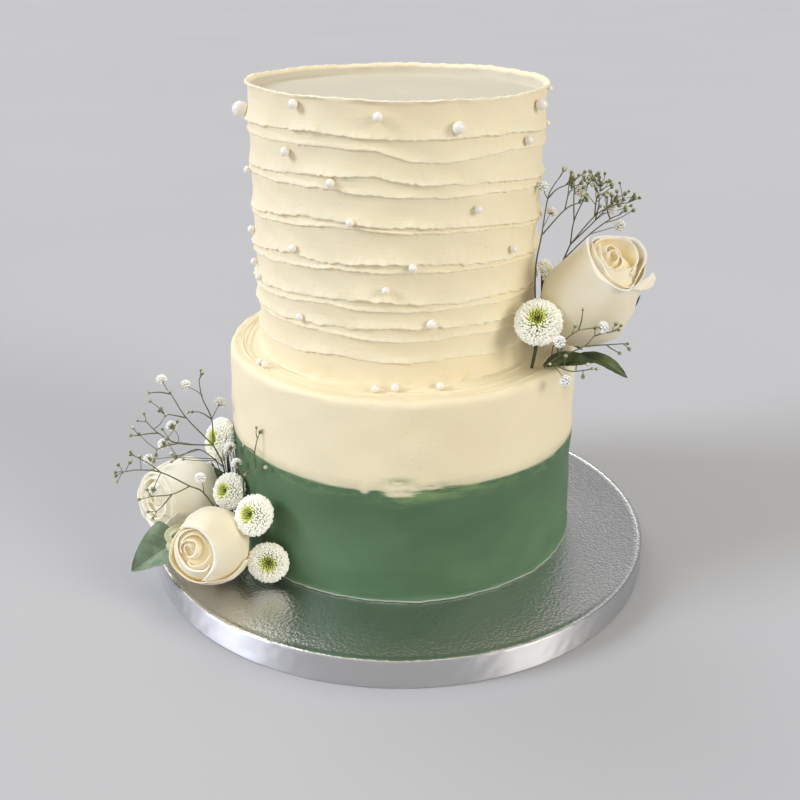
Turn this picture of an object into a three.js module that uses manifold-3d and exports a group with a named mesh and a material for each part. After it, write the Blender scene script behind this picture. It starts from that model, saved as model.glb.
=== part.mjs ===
// A two-tier wedding cake on its silver board, dressed with roses, button mums and gypsophila.
// Millimetres, +Z up. The origin is the centre of the board's underside, and the front faces -Y.
import * as THREE from 'three';
import { mergeVertices } from 'three/addons/utils/BufferGeometryUtils.js';
import Module from 'manifold-3d';

const wasm = await Module();
wasm.setup();

// Driving sizes. Angles are in degrees, anticlockwise from +X, so the front is at -90.
const front = -90;
const gap = 0.3;

const board = { radius: 152.4, thickness: 17, edge: 1.8, edgeSteps: 2, sides: 48 };

const lowerTier = {
  x: 1.4,
  y: 6.4,
  baseRadius: 105.4,
  topRadius: 102.4,
  height: 118,
  shoulder: 4.5,
  brim: 0.9,
  ledgeRadius: 92,
  sides: 48,
};

// The green icing is a coat round the lower tier, with a hand-drawn upper edge
const greenCoat = { height: 68, thickness: 5, wave: 0.9, tongueAngle: -91, tongueWidth: 5, tongueDepth: 3 };

const upperTier = {
  x: -2.5,
  y: 7.2,
  baseRadius: 80.6,
  topRadius: 82,
  height: 149,
  rimWave: 0.9,
  rimWidth: 3,
  recess: 6.5,
  skirt: 1.2,
  undercut: 0.5,
  undercutDrop: 1.5,
  sides: 36,
};

// Spatula strokes round the upper tier, from the bottom up: the height of each stroke's upper lip
// at the front, how far it runs up or down to the left and the right, and how far it stands out
const strokes = [
  { height: 15, left: -1, right: -2, lip: 0.9 },
  { height: 26.3, left: -2, right: -2, lip: 0.8 },
  { height: 33.2, left: -4, right: -2, lip: 1.2 },
  { height: 47, left: -4, right: -5, lip: 1.3 },
  { height: 67.8, left: -5, right: -5, lip: 1.4 },
  { height: 86.5, left: -3, right: -6, lip: 1.5 },
  { height: 102.5, left: 0, right: -3, lip: 0.8 },
  { height: 110, left: -2, right: -6, lip: 1.2 },
  { height: 121.5, left: 2, right: -2, lip: 0.6 },
  { height: 130.3, left: -1, right: -4, lip: 1.5 },
];
const strokeWave = 0.7;

// Sugar pearls pressed into the upper tier: angle, height above its base and diameter
const pearlSink = 0.2;
const largePearl = 6;
const pearls = [
  [-171, 134, 9.2],
  [-127, 144.5, 5],
  [-96, 141, 5.1],
  [-69, 135.5, 6.5],
  [-28, 141, 6.2],
  [-11, 146, 3],
  [-11, 128, 2.8],
  [-35.5, 124.5, 4.6],
  [-132, 120.5, 4.8],
  [-171, 101.5, 4.4],
  [-113, 108, 4.6],
  [-60, 94, 4.2],
  [-106, 89, 4.3],
  [-171, 68, 4.5],
  [-130.5, 71, 4.2],
  [-41.5, 69, 4.2],
  [-84, 66.5, 4.5],
  [-93.5, 54.5, 4.2],
  [-168, 50.5, 4],
  [-159, 45, 3.9],
  [-128.5, 34, 4.3],
  [-77, 36, 5.2],
];
// The far side goes on in the same loose scatter
const farPearls = { count: 9, from: 12, to: 168, low: 34, high: 142, diameter: 4.4, seed: 11 };
// Pearls that rolled on to the ledge between the tiers: x, y and diameter
const ledgePearls = [
  [-2.5, -77.6, 4.5],
  [21.5, -75, 4.4],
  [-13, -79, 4.2],
  [-78.5, -41, 4.3],
  [-75, -45.5, 4.2],
];

// Roses: the middle of the bloom, the way it opens, its radius and length, and where its stem ends
const roses = {
  rose_right: {
    centre: [104.2, -31, 171.5],
    opens: [0.38, -0.47, 0.8],
    radius: 26.5,
    length: 58,
    turn: 20,
    curledPetal: { angle: 20, reach: 9 },
    stem: [92, -15, 137.4],
  },
  rose_left_front: {
    centre: [-106.5, -78, 40],
    opens: [-0.28, -0.93, 0.22],
    radius: 22.5,
    length: 44,
    turn: 75,
    curledPetal: { angle: 60, reach: 0 },
    stem: [-94, -42, 31],
  },
  rose_left_back: {
    centre: [-130, -23, 41.5],
    opens: [-0.63, -0.72, 0.26],
    radius: 23.5,
    length: 46,
    turn: 10,
    curledPetal: { angle: 60, reach: 0 },
    stem: [-109, 1, 33],
  },
};

const roseSides = 20;
const roseStem = { radius: 2.6, sides: 6 };

// Button mums: the middle of the flower, the way it faces, its radius and the points of its stem
const mums = {
  mum_right_front: {
    centre: [74, -54.5, 165.5],
    faces: [-0.08, -0.78, 0.62],
    radius: 13,
    stem: [[75, -46, 150], [73, -46, 135.7]],
  },
  mum_right_back: {
    centre: [84.4, -1, 177],
    faces: [0.88, -0.2, 0.42],
    radius: 8,
    stem: [[83, -1, 160], [84, 0, 135.5]],
  },
  mum_left_high: {
    centre: [-99.5, -46, 57],
    faces: [-0.47, -0.71, 0.53],
    radius: 11,
    stem: [[-97.5, -39, 40], [-98, -38, 17.4]],
  },
  mum_left_middle: {
    centre: [-80.6, -79.2, 60.1],
    faces: [-0.35, -0.75, 0.56],
    radius: 11.7,
    stem: [[-77.5, -69, 42], [-78.5, -67.5, 17.7]],
  },
  mum_left_low: {
    centre: [-73.8, -82, 31.2],
    faces: [0, -0.97, 0.24],
    radius: 11.7,
    stem: [[-73, -74.5, 26], [-72.5, -73, 17.6]],
  },
  mum_left_back: {
    centre: [-108.5, -16, 77],
    faces: [-0.8, -0.5, 0.36],
    radius: 11.5,
    stem: [[-107, -4, 56], [-107.5, -2, 17.5]],
  },
};

const mumSides = 12;
const mumStem = { radius: 1.1, sides: 4 };

// Leaves: base, middle and tip of the midrib, the widest width, and the way the upper face looks
const leaves = {
  leaf_left: {
    midrib: [[-129.5, -60.5, 35], [-141, -66.5, 28], [-153.5, -72, 19.6]],
    width: 29,
    widest: 0.34,
    faces: [0.1, -0.45, 0.88],
    fold: 0.6,
    wave: 1.2,
  },
  leaf_right_long: {
    midrib: [[88, -42, 138], [106.5, -48.5, 141.5], [125.5, -50, 131.5]],
    width: 8.5,
    widest: 0.6,
    faces: [0.1, -0.5, 0.85],
    fold: 0.3,
    wave: 0.8,
  },
  leaf_right_short: {
    midrib: [[86, -46.5, 137], [94, -54, 142.5], [106, -58, 144]],
    width: 7,
    widest: 0.5,
    faces: [0, -0.5, 0.85],
    fold: 0.3,
    wave: 0.5,
  },
};
const leafThickness = 0.9;

// Gypsophila sprigs: each stem runs through its points, and the last point carries a spread of buds.
// The first stem starts where the sprig is pushed in, and the others start on an earlier stem.
const sprigs = {
  sprig_right_tall: {
    stems: [
      { path: [[76, -34, 135.5], [75.5, -30, 160], [74.5, -27, 187], [77, -25, 205.5]], buds: 0 },
      { path: [[77, -25, 205.5], [79.5, -22, 225], [82.5, -20, 234]], buds: 0 },
      { path: [[82.5, -20, 234], [88, -18, 241]], buds: 0 },
      { path: [[79.5, -22, 225], [89, -20, 232]], buds: 0 },
      { path: [[77, -25, 205.5], [89.5, -20, 218.5], [97.5, -16, 221.5]], buds: 3 },
      { path: [[89.5, -20, 218.5], [90.5, -22, 233]], buds: 2 },
    ],
    florets: [[[79.5, -22, 225], [77.5, -25, 233]], [[77.5, -24.4, 209.5], [81.5, -20, 216]]],
  },
  sprig_right_wide: {
    stems: [
      { path: [[84, 9, 135.8], [89, 6, 165], [94.5, 3, 184], [97.5, 2, 193]], buds: 0 },
      { path: [[97.5, 2, 193], [98.5, 1, 207], [103.5, 2, 220], [105, 3, 227]], buds: 2 },
      { path: [[98.5, 1, 207], [97, -2, 220], [96.5, -4, 228]], buds: 2 },
      { path: [[97.5, 2, 193], [109, -4, 211], [118, -8, 218], [126, -9, 220]], buds: 3 },
      { path: [[109, -4, 211], [109, -6, 221], [111, -6, 228]], buds: 2 },
      { path: [[97.5, 2, 193], [111, 3, 207], [119, 4, 217]], buds: 2 },
      { path: [[111, 3, 207], [113, 7, 218], [110, 9, 225]], buds: 2 },
      { path: [[94.5, 3, 184], [107, -5, 201], [116, -14, 212], [120, -17, 215]], buds: 2 },
      { path: [[116, -14, 212], [113, -16, 220]], buds: 1 },
    ],
    florets: [[[107, -5, 201], [119, -20, 209.5]]],
  },
  sprig_right_low: {
    stems: [
      { path: [[80, -47, 136.8], [82, -53, 142], [86, -58, 147.5]], buds: 0 },
      { path: [[86, -58, 147.5], [92, -60.5, 151], [98.5, -62, 155], [103, -63, 161]], buds: 1 },
      { path: [[98.5, -62, 155], [110.5, -60, 155], [120, -57, 154.5]], buds: 1 },
      { path: [[110.5, -60, 155], [116.5, -60, 151]], buds: 0 },
      { path: [[103, -63, 161], [112, -62, 163]], buds: 2 },
      { path: [[86, -58, 147.5], [88, -63, 159], [94, -65, 165]], buds: 0 },
      { path: [[94, -65, 165], [95, -67, 177]], buds: 0 },
      { path: [[82, -53, 142], [91, -63, 141], [100, -63, 141.5]], buds: 1 },
    ],
    florets: [
      [[86, -58, 147.5], [83.5, -71, 160]],
      [[94, -65, 165], [105, -65, 166.5]],
      [[82, -53, 142], [88, -67, 138]],
    ],
  },
  sprig_left_tall: {
    stems: [
      { path: [[-108.5, -30, 17.6], [-106, -31, 45], [-104.5, -33, 66], [-109.5, -34, 81]], buds: 0 },
      { path: [[-109.5, -34, 81], [-123.5, -36, 99.5], [-131.5, -34, 113.5]], buds: 0 },
      { path: [[-131.5, -34, 113.5], [-142, -38, 116]], buds: 0 },
      { path: [[-123.5, -36, 99.5], [-136, -36, 102]], buds: 1 },
      { path: [[-109.5, -34, 81], [-110.5, -28, 95], [-115, -26, 109]], buds: 0 },
      { path: [[-115, -26, 109], [-115, -24, 121.5]], buds: 0 },
      { path: [[-110.5, -28, 95], [-117, -32, 101.5]], buds: 0 },
      { path: [[-109.5, -34, 81], [-127.5, -44, 87], [-138.5, -44, 93.5], [-146, -40, 99]], buds: 1 },
      { path: [[-138.5, -44, 93.5], [-149.5, -46, 93]], buds: 1 },
      { path: [[-127.5, -44, 87], [-138.5, -51, 86.5]], buds: 1 },
      { path: [[-104.5, -33, 66], [-116, -42, 82], [-126.5, -52, 82]], buds: 1 },
    ],
    florets: [
      [[-131.5, -34, 113.5], [-135.5, -34, 123]],
      [[-115, -26, 109], [-122.5, -30, 116.5]],
      [[-110.5, -28, 95], [-106.5, -24, 102]],
      [[-127.5, -44, 87], [-134, -33, 92]],
    ],
  },
  sprig_left_wide: {
    stems: [
      { path: [[-106, -46.5, 17.6], [-105.5, -47.5, 38], [-112, -58, 62], [-118, -66, 71]], buds: 0 },
      { path: [[-118, -66, 71], [-134.5, -62, 77.5], [-148, -60, 78], [-158.5, -58, 75]], buds: 2 },
      { path: [[-134.5, -62, 77.5], [-149.5, -54, 83]], buds: 1 },
      { path: [[-118, -66, 71], [-127.5, -70, 68], [-139, -70, 66.5]], buds: 1 },
      { path: [[-127.5, -70, 68], [-136, -75, 59.5]], buds: 1 },
    ],
    florets: [],
  },
  sprig_left_short: {
    stems: [
      { path: [[-89.5, -51.5, 17.6], [-90, -52, 50], [-89, -56, 72], [-81, -62.5, 81]], buds: 0 },
      { path: [[-81, -62.5, 81], [-81, -62.5, 90.5]], buds: 0 },
      { path: [[-81, -62.5, 90.5], [-79, -63, 99.5]], buds: 0 },
      { path: [[-81, -62.5, 90.5], [-86, -60, 93]], buds: 0 },
      { path: [[-81, -62.5, 81], [-75.5, -68, 84]], buds: 0 },
    ],
    florets: [[[-89, -56, 72], [-98, -41, 81.5]]],
  },
};
const sprigStem = { radius: 0.65, sides: 3 };
const bud = { radius: 1.6, reach: 6.5, spread: 0.9, sides: 3 };
const floret = { radius: 4.2, depth: 3, sides: 5 };

const finishes = {
  creamIcing: { color: 0xf0e3bf, roughness: 0.62 },
  greenIcing: { color: 0x5a8262, roughness: 0.6 },
  silverFoil: { color: 0xc3c6c4, roughness: 0.35, metalness: 0.9 },
  rosePetal: { color: 0xf6ecd4, roughness: 0.6 },
  mumPetal: { color: 0xf1f1df, roughness: 0.75 },
  leaf: { color: 0x4a6544, roughness: 0.55 },
  greyLeaf: { color: 0x768d75, roughness: 0.6 },
  sprig: { color: 0xb9bd98, roughness: 0.75 },
};

const radians = THREE.MathUtils.degToRad;

// ---- joining and small helpers ----

function toSolid(geometry) {
  const bare = geometry.clone();
  bare.deleteAttribute('normal');
  bare.deleteAttribute('uv');
  const merged = mergeVertices(bare, 1e-4);
  return new wasm.Manifold(
    new wasm.Mesh({
      numProp: 3,
      vertProperties: new Float32Array(merged.attributes.position.array),
      triVerts: new Uint32Array(merged.index.array),
    }),
  );
}

function toGeometry(solid) {
  const mesh = solid.getMesh();
  const geometry = new THREE.BufferGeometry();
  geometry.setAttribute('position', new THREE.BufferAttribute(new Float32Array(mesh.vertProperties), 3));
  geometry.setIndex(new THREE.BufferAttribute(new Uint32Array(mesh.triVerts), 1));
  geometry.computeVertexNormals();
  return geometry;
}

// Joins into one body, with any sealed hollow between the pieces filled
function join(geometries) {
  const shells = wasm.Manifold.union(geometries.map(toSolid)).decompose();
  shells.sort((a, b) => b.volume() - a.volume());
  return toGeometry(shells[0]);
}

function makeGeometry(positions, indices) {
  const geometry = new THREE.BufferGeometry();
  geometry.setAttribute('position', new THREE.Float32BufferAttribute(positions, 3));
  geometry.setIndex(indices);
  geometry.computeVertexNormals();
  return geometry;
}

function point(list) {
  return new THREE.Vector3(...list);
}

// A repeatable stream of numbers from 0 to 1
function randomStream(seed) {
  let state = seed * 7919 + 17;
  return () => {
    state = (state * 16807) % 2147483647;
    return state / 2147483647;
  };
}

// A closed solid of rings round the Z axis. Each ring gives [radius, height] for an angle.
// Ends that aren't capped meet each other, which makes a ring-shaped solid.
function ringSolid(rings, sides, capped = true) {
  const positions = [];
  const indices = [];
  for (const ring of rings) {
    for (let i = 0; i < sides; i++) {
      const angle = (2 * Math.PI * i) / sides;
      const [radius, height] = ring(angle);
      positions.push(radius * Math.cos(angle), radius * Math.sin(angle), height);
    }
  }
  const bands = capped ? rings.length - 1 : rings.length;
  for (let row = 0; row < bands; row++) {
    const above = (row + 1) % rings.length;
    for (let i = 0; i < sides; i++) {
      const next = (i + 1) % sides;
      const a = row * sides + i;
      const b = row * sides + next;
      const c = above * sides + next;
      const d = above * sides + i;
      indices.push(a, b, c, a, c, d);
    }
  }
  if (capped) {
    const last = (rings.length - 1) * sides;
    const bottom = positions.length / 3;
    positions.push(0, 0, rings[0](0)[1], 0, 0, rings[rings.length - 1](0)[1]);
    for (let i = 0; i < sides; i++) {
      const next = (i + 1) % sides;
      indices.push(bottom, next, i);
      indices.push(bottom + 1, last + i, last + next);
    }
  }
  return makeGeometry(positions, indices);
}

// A closed sheet: outer and inner faces over the same grid, split into triangles alike
function sheetSolid(columns, rows, outer, inner) {
  const positions = [];
  const indices = [];
  const across = columns + 1;
  const sheet = across * (rows + 1);
  for (const face of [outer, inner]) {
    for (let row = 0; row <= rows; row++) {
      for (let column = 0; column <= columns; column++) {
        positions.push(...face((2 * column) / columns - 1, row / rows).toArray());
      }
    }
  }
  for (let row = 0; row < rows; row++) {
    for (let column = 0; column < columns; column++) {
      const a = row * across + column;
      const d = a + across;
      indices.push(a, a + 1, d + 1, a, d + 1, d);
      indices.push(sheet + a, sheet + d + 1, sheet + a + 1, sheet + a, sheet + d, sheet + d + 1);
    }
  }
  const edge = [];
  for (let column = 0; column < columns; column++) edge.push([column, column + 1]);
  for (let row = 0; row < rows; row++) edge.push([row * across + columns, (row + 1) * across + columns]);
  for (let column = columns; column > 0; column--) edge.push([rows * across + column, rows * across + column - 1]);
  for (let row = rows; row > 0; row--) edge.push([row * across, (row - 1) * across]);
  for (const [from, to] of edge) {
    indices.push(from, sheet + from, sheet + to, from, sheet + to, to);
  }
  return makeGeometry(positions, indices);
}

function polygonShape(radius, sides) {
  const corners = [];
  for (let i = 0; i < sides; i++) {
    const angle = (2 * Math.PI * i) / sides;
    corners.push(new THREE.Vector2(radius * Math.cos(angle), radius * Math.sin(angle)));
  }
  return new THREE.Shape(corners);
}

// A smooth run that keeps a section exactly at each of its points, so that a branch meets its stem
class StemCurve extends THREE.CatmullRomCurve3 {
  getPointAt(along) {
    return this.getPoint(along);
  }

  getTangentAt(along) {
    return this.getTangent(along);
  }
}

function stemGeometry(points, radius, sides) {
  const section = polygonShape(radius, sides);
  const extrudePath = new StemCurve(points);
  return new THREE.ExtrudeGeometry(section, { extrudePath, steps: points.length - 1, bevelEnabled: false });
}

function turnTo(geometry, direction) {
  const up = new THREE.Vector3(0, 0, 1);
  return geometry.applyQuaternion(new THREE.Quaternion().setFromUnitVectors(up, direction));
}

function mesh(name, geometry, finish, position = [0, 0, 0]) {
  const result = new THREE.Mesh(geometry, new THREE.MeshStandardMaterial({ metalness: 0, ...finish }));
  result.name = name;
  result.position.set(...position);
  return result;
}

function pearlGeometry(diameter) {
  const round = diameter > largePearl ? new THREE.OctahedronGeometry(0.5, 1) : new THREE.IcosahedronGeometry(0.5, 0);
  return round.scale(diameter, diameter, diameter);
}

// ---- board ----

// A thick round drum with its foil drawn over softly rounded edges
function boardGeometry() {
  const profile = [new THREE.Vector2(0, 0)];
  const inset = board.radius - board.edge;
  for (let i = 0; i <= board.edgeSteps; i++) {
    const turn = (Math.PI / 2) * (i / board.edgeSteps);
    profile.push(
      new THREE.Vector2(inset + board.edge * Math.sin(turn), board.edge * (1 - Math.cos(turn))),
    );
  }
  for (let i = 0; i <= board.edgeSteps; i++) {
    const turn = (Math.PI / 2) * (i / board.edgeSteps);
    profile.push(
      new THREE.Vector2(inset + board.edge * Math.cos(turn), board.thickness - board.edge * (1 - Math.sin(turn))),
    );
  }
  profile.push(new THREE.Vector2(0, board.thickness));
  return new THREE.LatheGeometry(profile, board.sides).rotateX(Math.PI / 2);
}

// ---- lower tier and its green coat ----

function lowerWall(height) {
  return THREE.MathUtils.lerp(lowerTier.baseRadius, lowerTier.topRadius, height / lowerTier.height);
}

// The green stops along a level, slightly wavy line with one smear of cream dipping into it
function greenEdge(angle) {
  const fromTongue = (THREE.MathUtils.radToDeg(angle) - 360 - greenCoat.tongueAngle) / greenCoat.tongueWidth;
  const wave = Math.sin(2 * angle + 1.2) + 0.7 * Math.sin(5 * angle + 0.4);
  return greenCoat.height + greenCoat.wave * wave - greenCoat.tongueDepth * Math.exp(-fromTongue * fromTongue);
}

function greenCoatGeometry() {
  const inner = lowerTier.baseRadius - greenCoat.thickness - gap;
  return ringSolid(
    [
      () => [inner, 0],
      () => [lowerTier.baseRadius, 0],
      (angle) => [lowerWall(greenEdge(angle)), greenEdge(angle)],
      (angle) => [inner, greenEdge(angle)],
    ],
    lowerTier.sides,
    false,
  );
}

function lowerTierGeometry() {
  const { height, shoulder, brim, ledgeRadius, topRadius } = lowerTier;
  const core = lowerTier.baseRadius - greenCoat.thickness - 2 * gap;
  const edge = topRadius - shoulder;
  const body = ringSolid(
    [
      () => [core, 0],
      (angle) => [core, greenEdge(angle) + gap],
      (angle) => [lowerWall(greenEdge(angle)), greenEdge(angle) + gap],
      () => [lowerWall(height - shoulder), height - shoulder],
      () => [topRadius - shoulder * 0.1, height - shoulder * 0.45],
      () => [topRadius - shoulder * 0.45, height - shoulder * 0.05],
      () => [edge, height + brim],
      () => [ledgeRadius, height],
    ],
    lowerTier.sides,
  );
  const scattered = ledgePearls.map(([x, y, diameter]) =>
    pearlGeometry(diameter).translate(x - lowerTier.x, y - lowerTier.y, height + diameter * (0.5 - pearlSink)),
  );
  return join([body, ...scattered]);
}

// ---- upper tier ----

function upperWall(height) {
  return THREE.MathUtils.lerp(upperTier.baseRadius, upperTier.topRadius, height / upperTier.height);
}

// How a stroke's lip runs round the tier: level at the front and back, lower or higher at the sides
function strokeHeight(stroke, index, angle) {
  const turned = angle - radians(front);
  const side = Math.sin(turned);
  const lean = ((stroke.right - stroke.left) / 2) * side;
  const sag = ((stroke.right + stroke.left) / 2) * side * side;
  const wave = Math.sin(3 * turned + 2.4 * index) + 0.6 * Math.sin(7 * turned + 1.7 * index);
  return stroke.height + lean + sag + strokeWave * wave;
}

function rimHeight(angle) {
  return upperTier.height + upperTier.rimWave * (0.6 * Math.sin(2 * angle + 0.5) + 0.4 * Math.sin(9 * angle));
}

function upperTierRings() {
  const { skirt, undercut, undercutDrop, rimWidth, recess, height } = upperTier;
  const rings = [() => [upperWall(0) + skirt, 0], () => [upperWall(0) + skirt * 0.3, skirt]];
  strokes.forEach((stroke, index) => {
    const lip = (angle) => strokeHeight(stroke, index, angle);
    const above = (angle) =>
      index + 1 < strokes.length ? strokeHeight(strokes[index + 1], index + 1, angle) : rimHeight(angle);
    rings.push((angle) => [upperWall(stroke.height) - undercut, lip(angle) - undercutDrop]);
    rings.push((angle) => [upperWall(stroke.height) + stroke.lip, lip(angle)]);
    rings.push((angle) => [upperWall(stroke.height) - undercut / 3, (lip(angle) + above(angle) - undercutDrop) / 2]);
  });
  rings.push((angle) => [upperWall(height) + 0.8, rimHeight(angle)]);
  rings.push((angle) => [upperWall(height) - rimWidth * 0.6, rimHeight(angle) - 0.3]);
  rings.push(() => [upperWall(height) - rimWidth, height - recess]);
  return rings;
}

function pearlOnWall([degrees, height, diameter]) {
  const angle = radians(degrees);
  const reach = upperWall(height) + diameter * (0.5 - pearlSink);
  return pearlGeometry(diameter).translate(reach * Math.cos(angle), reach * Math.sin(angle), height);
}

function farSidePearls() {
  const random = randomStream(farPearls.seed);
  const list = [];
  for (let i = 0; i < farPearls.count; i++) {
    const angle = THREE.MathUtils.lerp(farPearls.from, farPearls.to, (i + 0.2 + 0.6 * random()) / farPearls.count);
    const level = (i * 0.382 + 0.1 * random()) % 1;
    const height = THREE.MathUtils.lerp(farPearls.low, farPearls.high, level);
    list.push([angle, height, farPearls.diameter * (0.9 + 0.3 * random())]);
  }
  return list;
}

function upperTierGeometry() {
  const body = ringSolid(upperTierRings(), upperTier.sides);
  return join([body, ...[...pearls, ...farSidePearls()].map(pearlOnWall)]);
}

// ---- flowers ----

// One turned edge of petals: its radius and height as shares of the bloom's radius and length.
// A saw-toothed step tucks one side of each petal under the next, and its edge droops at the sides.
function petalRing(rose, { reach, level, petals = 0, tuck = 0, droop = 0, curl = 0 }) {
  const { radius, length, turn, curledPetal } = rose;
  return (angle) => {
    const share = (((angle - radians(turn)) * petals) / (2 * Math.PI) + petals) % 1;
    const across = petals > 0 ? share - 0.5 : 0;
    const fromCurl = Math.cos(angle - radians(curledPetal.angle));
    const curled = curl * curledPetal.reach * Math.max(0, fromCurl) ** 6;
    return [radius * (reach + tuck * across) + curled, length * (level - droop * across * across)];
  };
}

// A half-open rose: an egg-shaped bloom whose mouth shows petals nested round a tight heart
function roseGeometry(rose) {
  const petals = [
    { reach: 0.26, level: -0.5 },
    { reach: 0.52, level: -0.42 },
    { reach: 0.77, level: -0.28, petals: 5, tuck: 0.03 },
    { reach: 0.96, level: -0.06, petals: 5, tuck: 0.06 },
    { reach: 0.94, level: 0.15, petals: 5, tuck: 0.09 },
    { reach: 0.8, level: 0.34, petals: 5, tuck: 0.1 },
    { reach: 0.74, level: 0.5, petals: 5, tuck: 0.1, droop: 0.25, curl: 1 },
    { reach: 0.64, level: 0.47, petals: 5, tuck: 0.1, droop: 0.25, curl: 0.7 },
    { reach: 0.56, level: 0.34, petals: 4, tuck: 0.05 },
    { reach: 0.5, level: 0.53, petals: 4, tuck: 0.08, droop: 0.2 },
    { reach: 0.35, level: 0.36, petals: 4, tuck: 0.04 },
    { reach: 0.29, level: 0.5, petals: 2, tuck: 0.1, droop: 0.1 },
    { reach: 0.08, level: 0.42 },
  ];
  const bloom = ringSolid(petals.map((ring) => petalRing(rose, ring)), roseSides);
  const direction = point(rose.opens).normalize();
  const base = direction.clone().multiplyScalar(-0.45 * rose.length);
  const foot = point(rose.stem).sub(point(rose.centre));
  return join([turnTo(bloom, direction), stemGeometry([base, foot], roseStem.radius, roseStem.sides)]);
}

// A button mum: a thick cushion of short petals round a sunken eye, on a thin stem
function mumGeometry({ centre, faces, radius, stem }) {
  const ragged = (angle, depth) => 1 + depth * Math.cos((mumSides / 2) * angle);
  const head = ringSolid(
    [
      () => [radius * 0.3, -radius * 0.38],
      (angle) => [radius * 0.75 * ragged(angle, 0.03), -radius * 0.26],
      (angle) => [radius * 0.97 * ragged(angle, 0.03), 0],
      (angle) => [radius * 0.82 * ragged(angle, -0.03), radius * 0.3],
      () => [radius * 0.42, radius * 0.42],
      () => [radius * 0.16, radius * 0.26],
    ],
    mumSides,
  );
  const direction = point(faces).normalize();
  const back = direction.clone().multiplyScalar(-radius * 0.3);
  const path = [back, ...stem.map((place) => point(place).sub(point(centre)))];
  return join([turnTo(head, direction), stemGeometry(path, mumStem.radius, mumStem.sides)]);
}

// A thin leaf, widest partway along its midrib, with a slight wave along both edges
function leafGeometry({ midrib, width, widest, faces, fold, wave }) {
  const rib = new THREE.CatmullRomCurve3(midrib.map(point));
  const face = point(faces).normalize();
  const breadth = (along) => {
    const rise = along < widest ? along / widest : (1 - along) / (1 - widest);
    return (width / 2) * Math.max(0.05, Math.sin((Math.PI / 2) * rise) ** 0.8);
  };
  const surface = (offset) => (across, along) => {
    const tangent = rib.getTangent(along);
    const side = new THREE.Vector3().crossVectors(tangent, face).normalize();
    const normal = new THREE.Vector3().crossVectors(side, tangent).normalize();
    const ripple = wave * Math.sin(5 * along + 2 * across) * across * across;
    const lift = fold * breadth(along) * Math.abs(across) + ripple + offset;
    return rib.getPoint(along).addScaledVector(side, breadth(along) * across).addScaledVector(normal, lift);
  };
  return sheetSolid(4, 6, surface(leafThickness), surface(0));
}

// A sprig: thin stems that fork, tipped with tight buds and a few open florets
function sprigGeometry({ stems, florets }, seed) {
  const random = randomStream(seed);
  const { radius, sides } = sprigStem;
  const parts = [];
  const addBud = (from, to) => {
    const span = from.distanceTo(to);
    const twig = ringSolid(
      [
        () => [radius * 0.8, 0],
        () => [radius * 0.8, span - bud.radius],
        () => [bud.radius, span],
        () => [bud.radius * 0.5, span + bud.radius],
      ],
      bud.sides,
    );
    parts.push(turnTo(twig, to.clone().sub(from).normalize()).translate(...from.toArray()));
  };
  for (const { path, buds } of stems) {
    const points = path.map(point);
    const tip = points[points.length - 1];
    const before = points[points.length - 2];
    const heading = tip.clone().sub(before).normalize();
    if (points.length > 2) {
      parts.push(stemGeometry(points, points.length > 3 ? radius * 1.25 : radius, sides));
    } else {
      addBud(before, tip);
    }
    for (let i = 0; i < buds; i++) {
      const sideways = point([random() - 0.5, random() - 0.5, random() - 0.3]).multiplyScalar(2 * bud.spread);
      const toward = heading.clone().add(sideways).normalize();
      addBud(tip, tip.clone().addScaledVector(toward, bud.reach * (0.8 + 0.5 * random())));
    }
  }
  for (const [from, to] of florets) {
    const heading = point(to).sub(point(from)).normalize();
    const flower = ringSolid(
      [() => [radius, -1.5], () => [floret.radius, 0], () => [floret.radius * 0.6, floret.depth / 2]],
      floret.sides,
    );
    parts.push(stemGeometry([point(from), point(to)], radius * 0.75, sides));
    parts.push(turnTo(flower, heading).translate(...to));
  }
  return join(parts);
}

// ---- the cake ----

const cake = new THREE.Group();
cake.add(mesh('cake_board', boardGeometry(), finishes.silverFoil));

const lower = new THREE.Group();
lower.position.set(lowerTier.x, lowerTier.y, board.thickness);
lower.add(mesh('lower_tier', lowerTierGeometry(), finishes.creamIcing));
lower.add(mesh('green_icing', greenCoatGeometry(), finishes.greenIcing));
cake.add(lower);

const upper = new THREE.Group();
upper.position.set(upperTier.x, upperTier.y, board.thickness + lowerTier.height);
upper.add(mesh('upper_tier', upperTierGeometry(), finishes.creamIcing));
cake.add(upper);

for (const [name, rose] of Object.entries(roses)) {
  cake.add(mesh(name, roseGeometry(rose), finishes.rosePetal, rose.centre));
}
for (const [name, mum] of Object.entries(mums)) {
  cake.add(mesh(name, mumGeometry(mum), finishes.mumPetal, mum.centre));
}
for (const [name, leaf] of Object.entries(leaves)) {
  cake.add(mesh(name, leafGeometry(leaf), name === 'leaf_left' ? finishes.greyLeaf : finishes.leaf));
}
Object.entries(sprigs).forEach(([name, sprig], index) => {
  cake.add(mesh(name, sprigGeometry(sprig, index + 3), finishes.sprig));
});

export default cake;
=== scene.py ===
import math

import bpy
import numpy as np
from mathutils import Matrix, Vector


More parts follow.
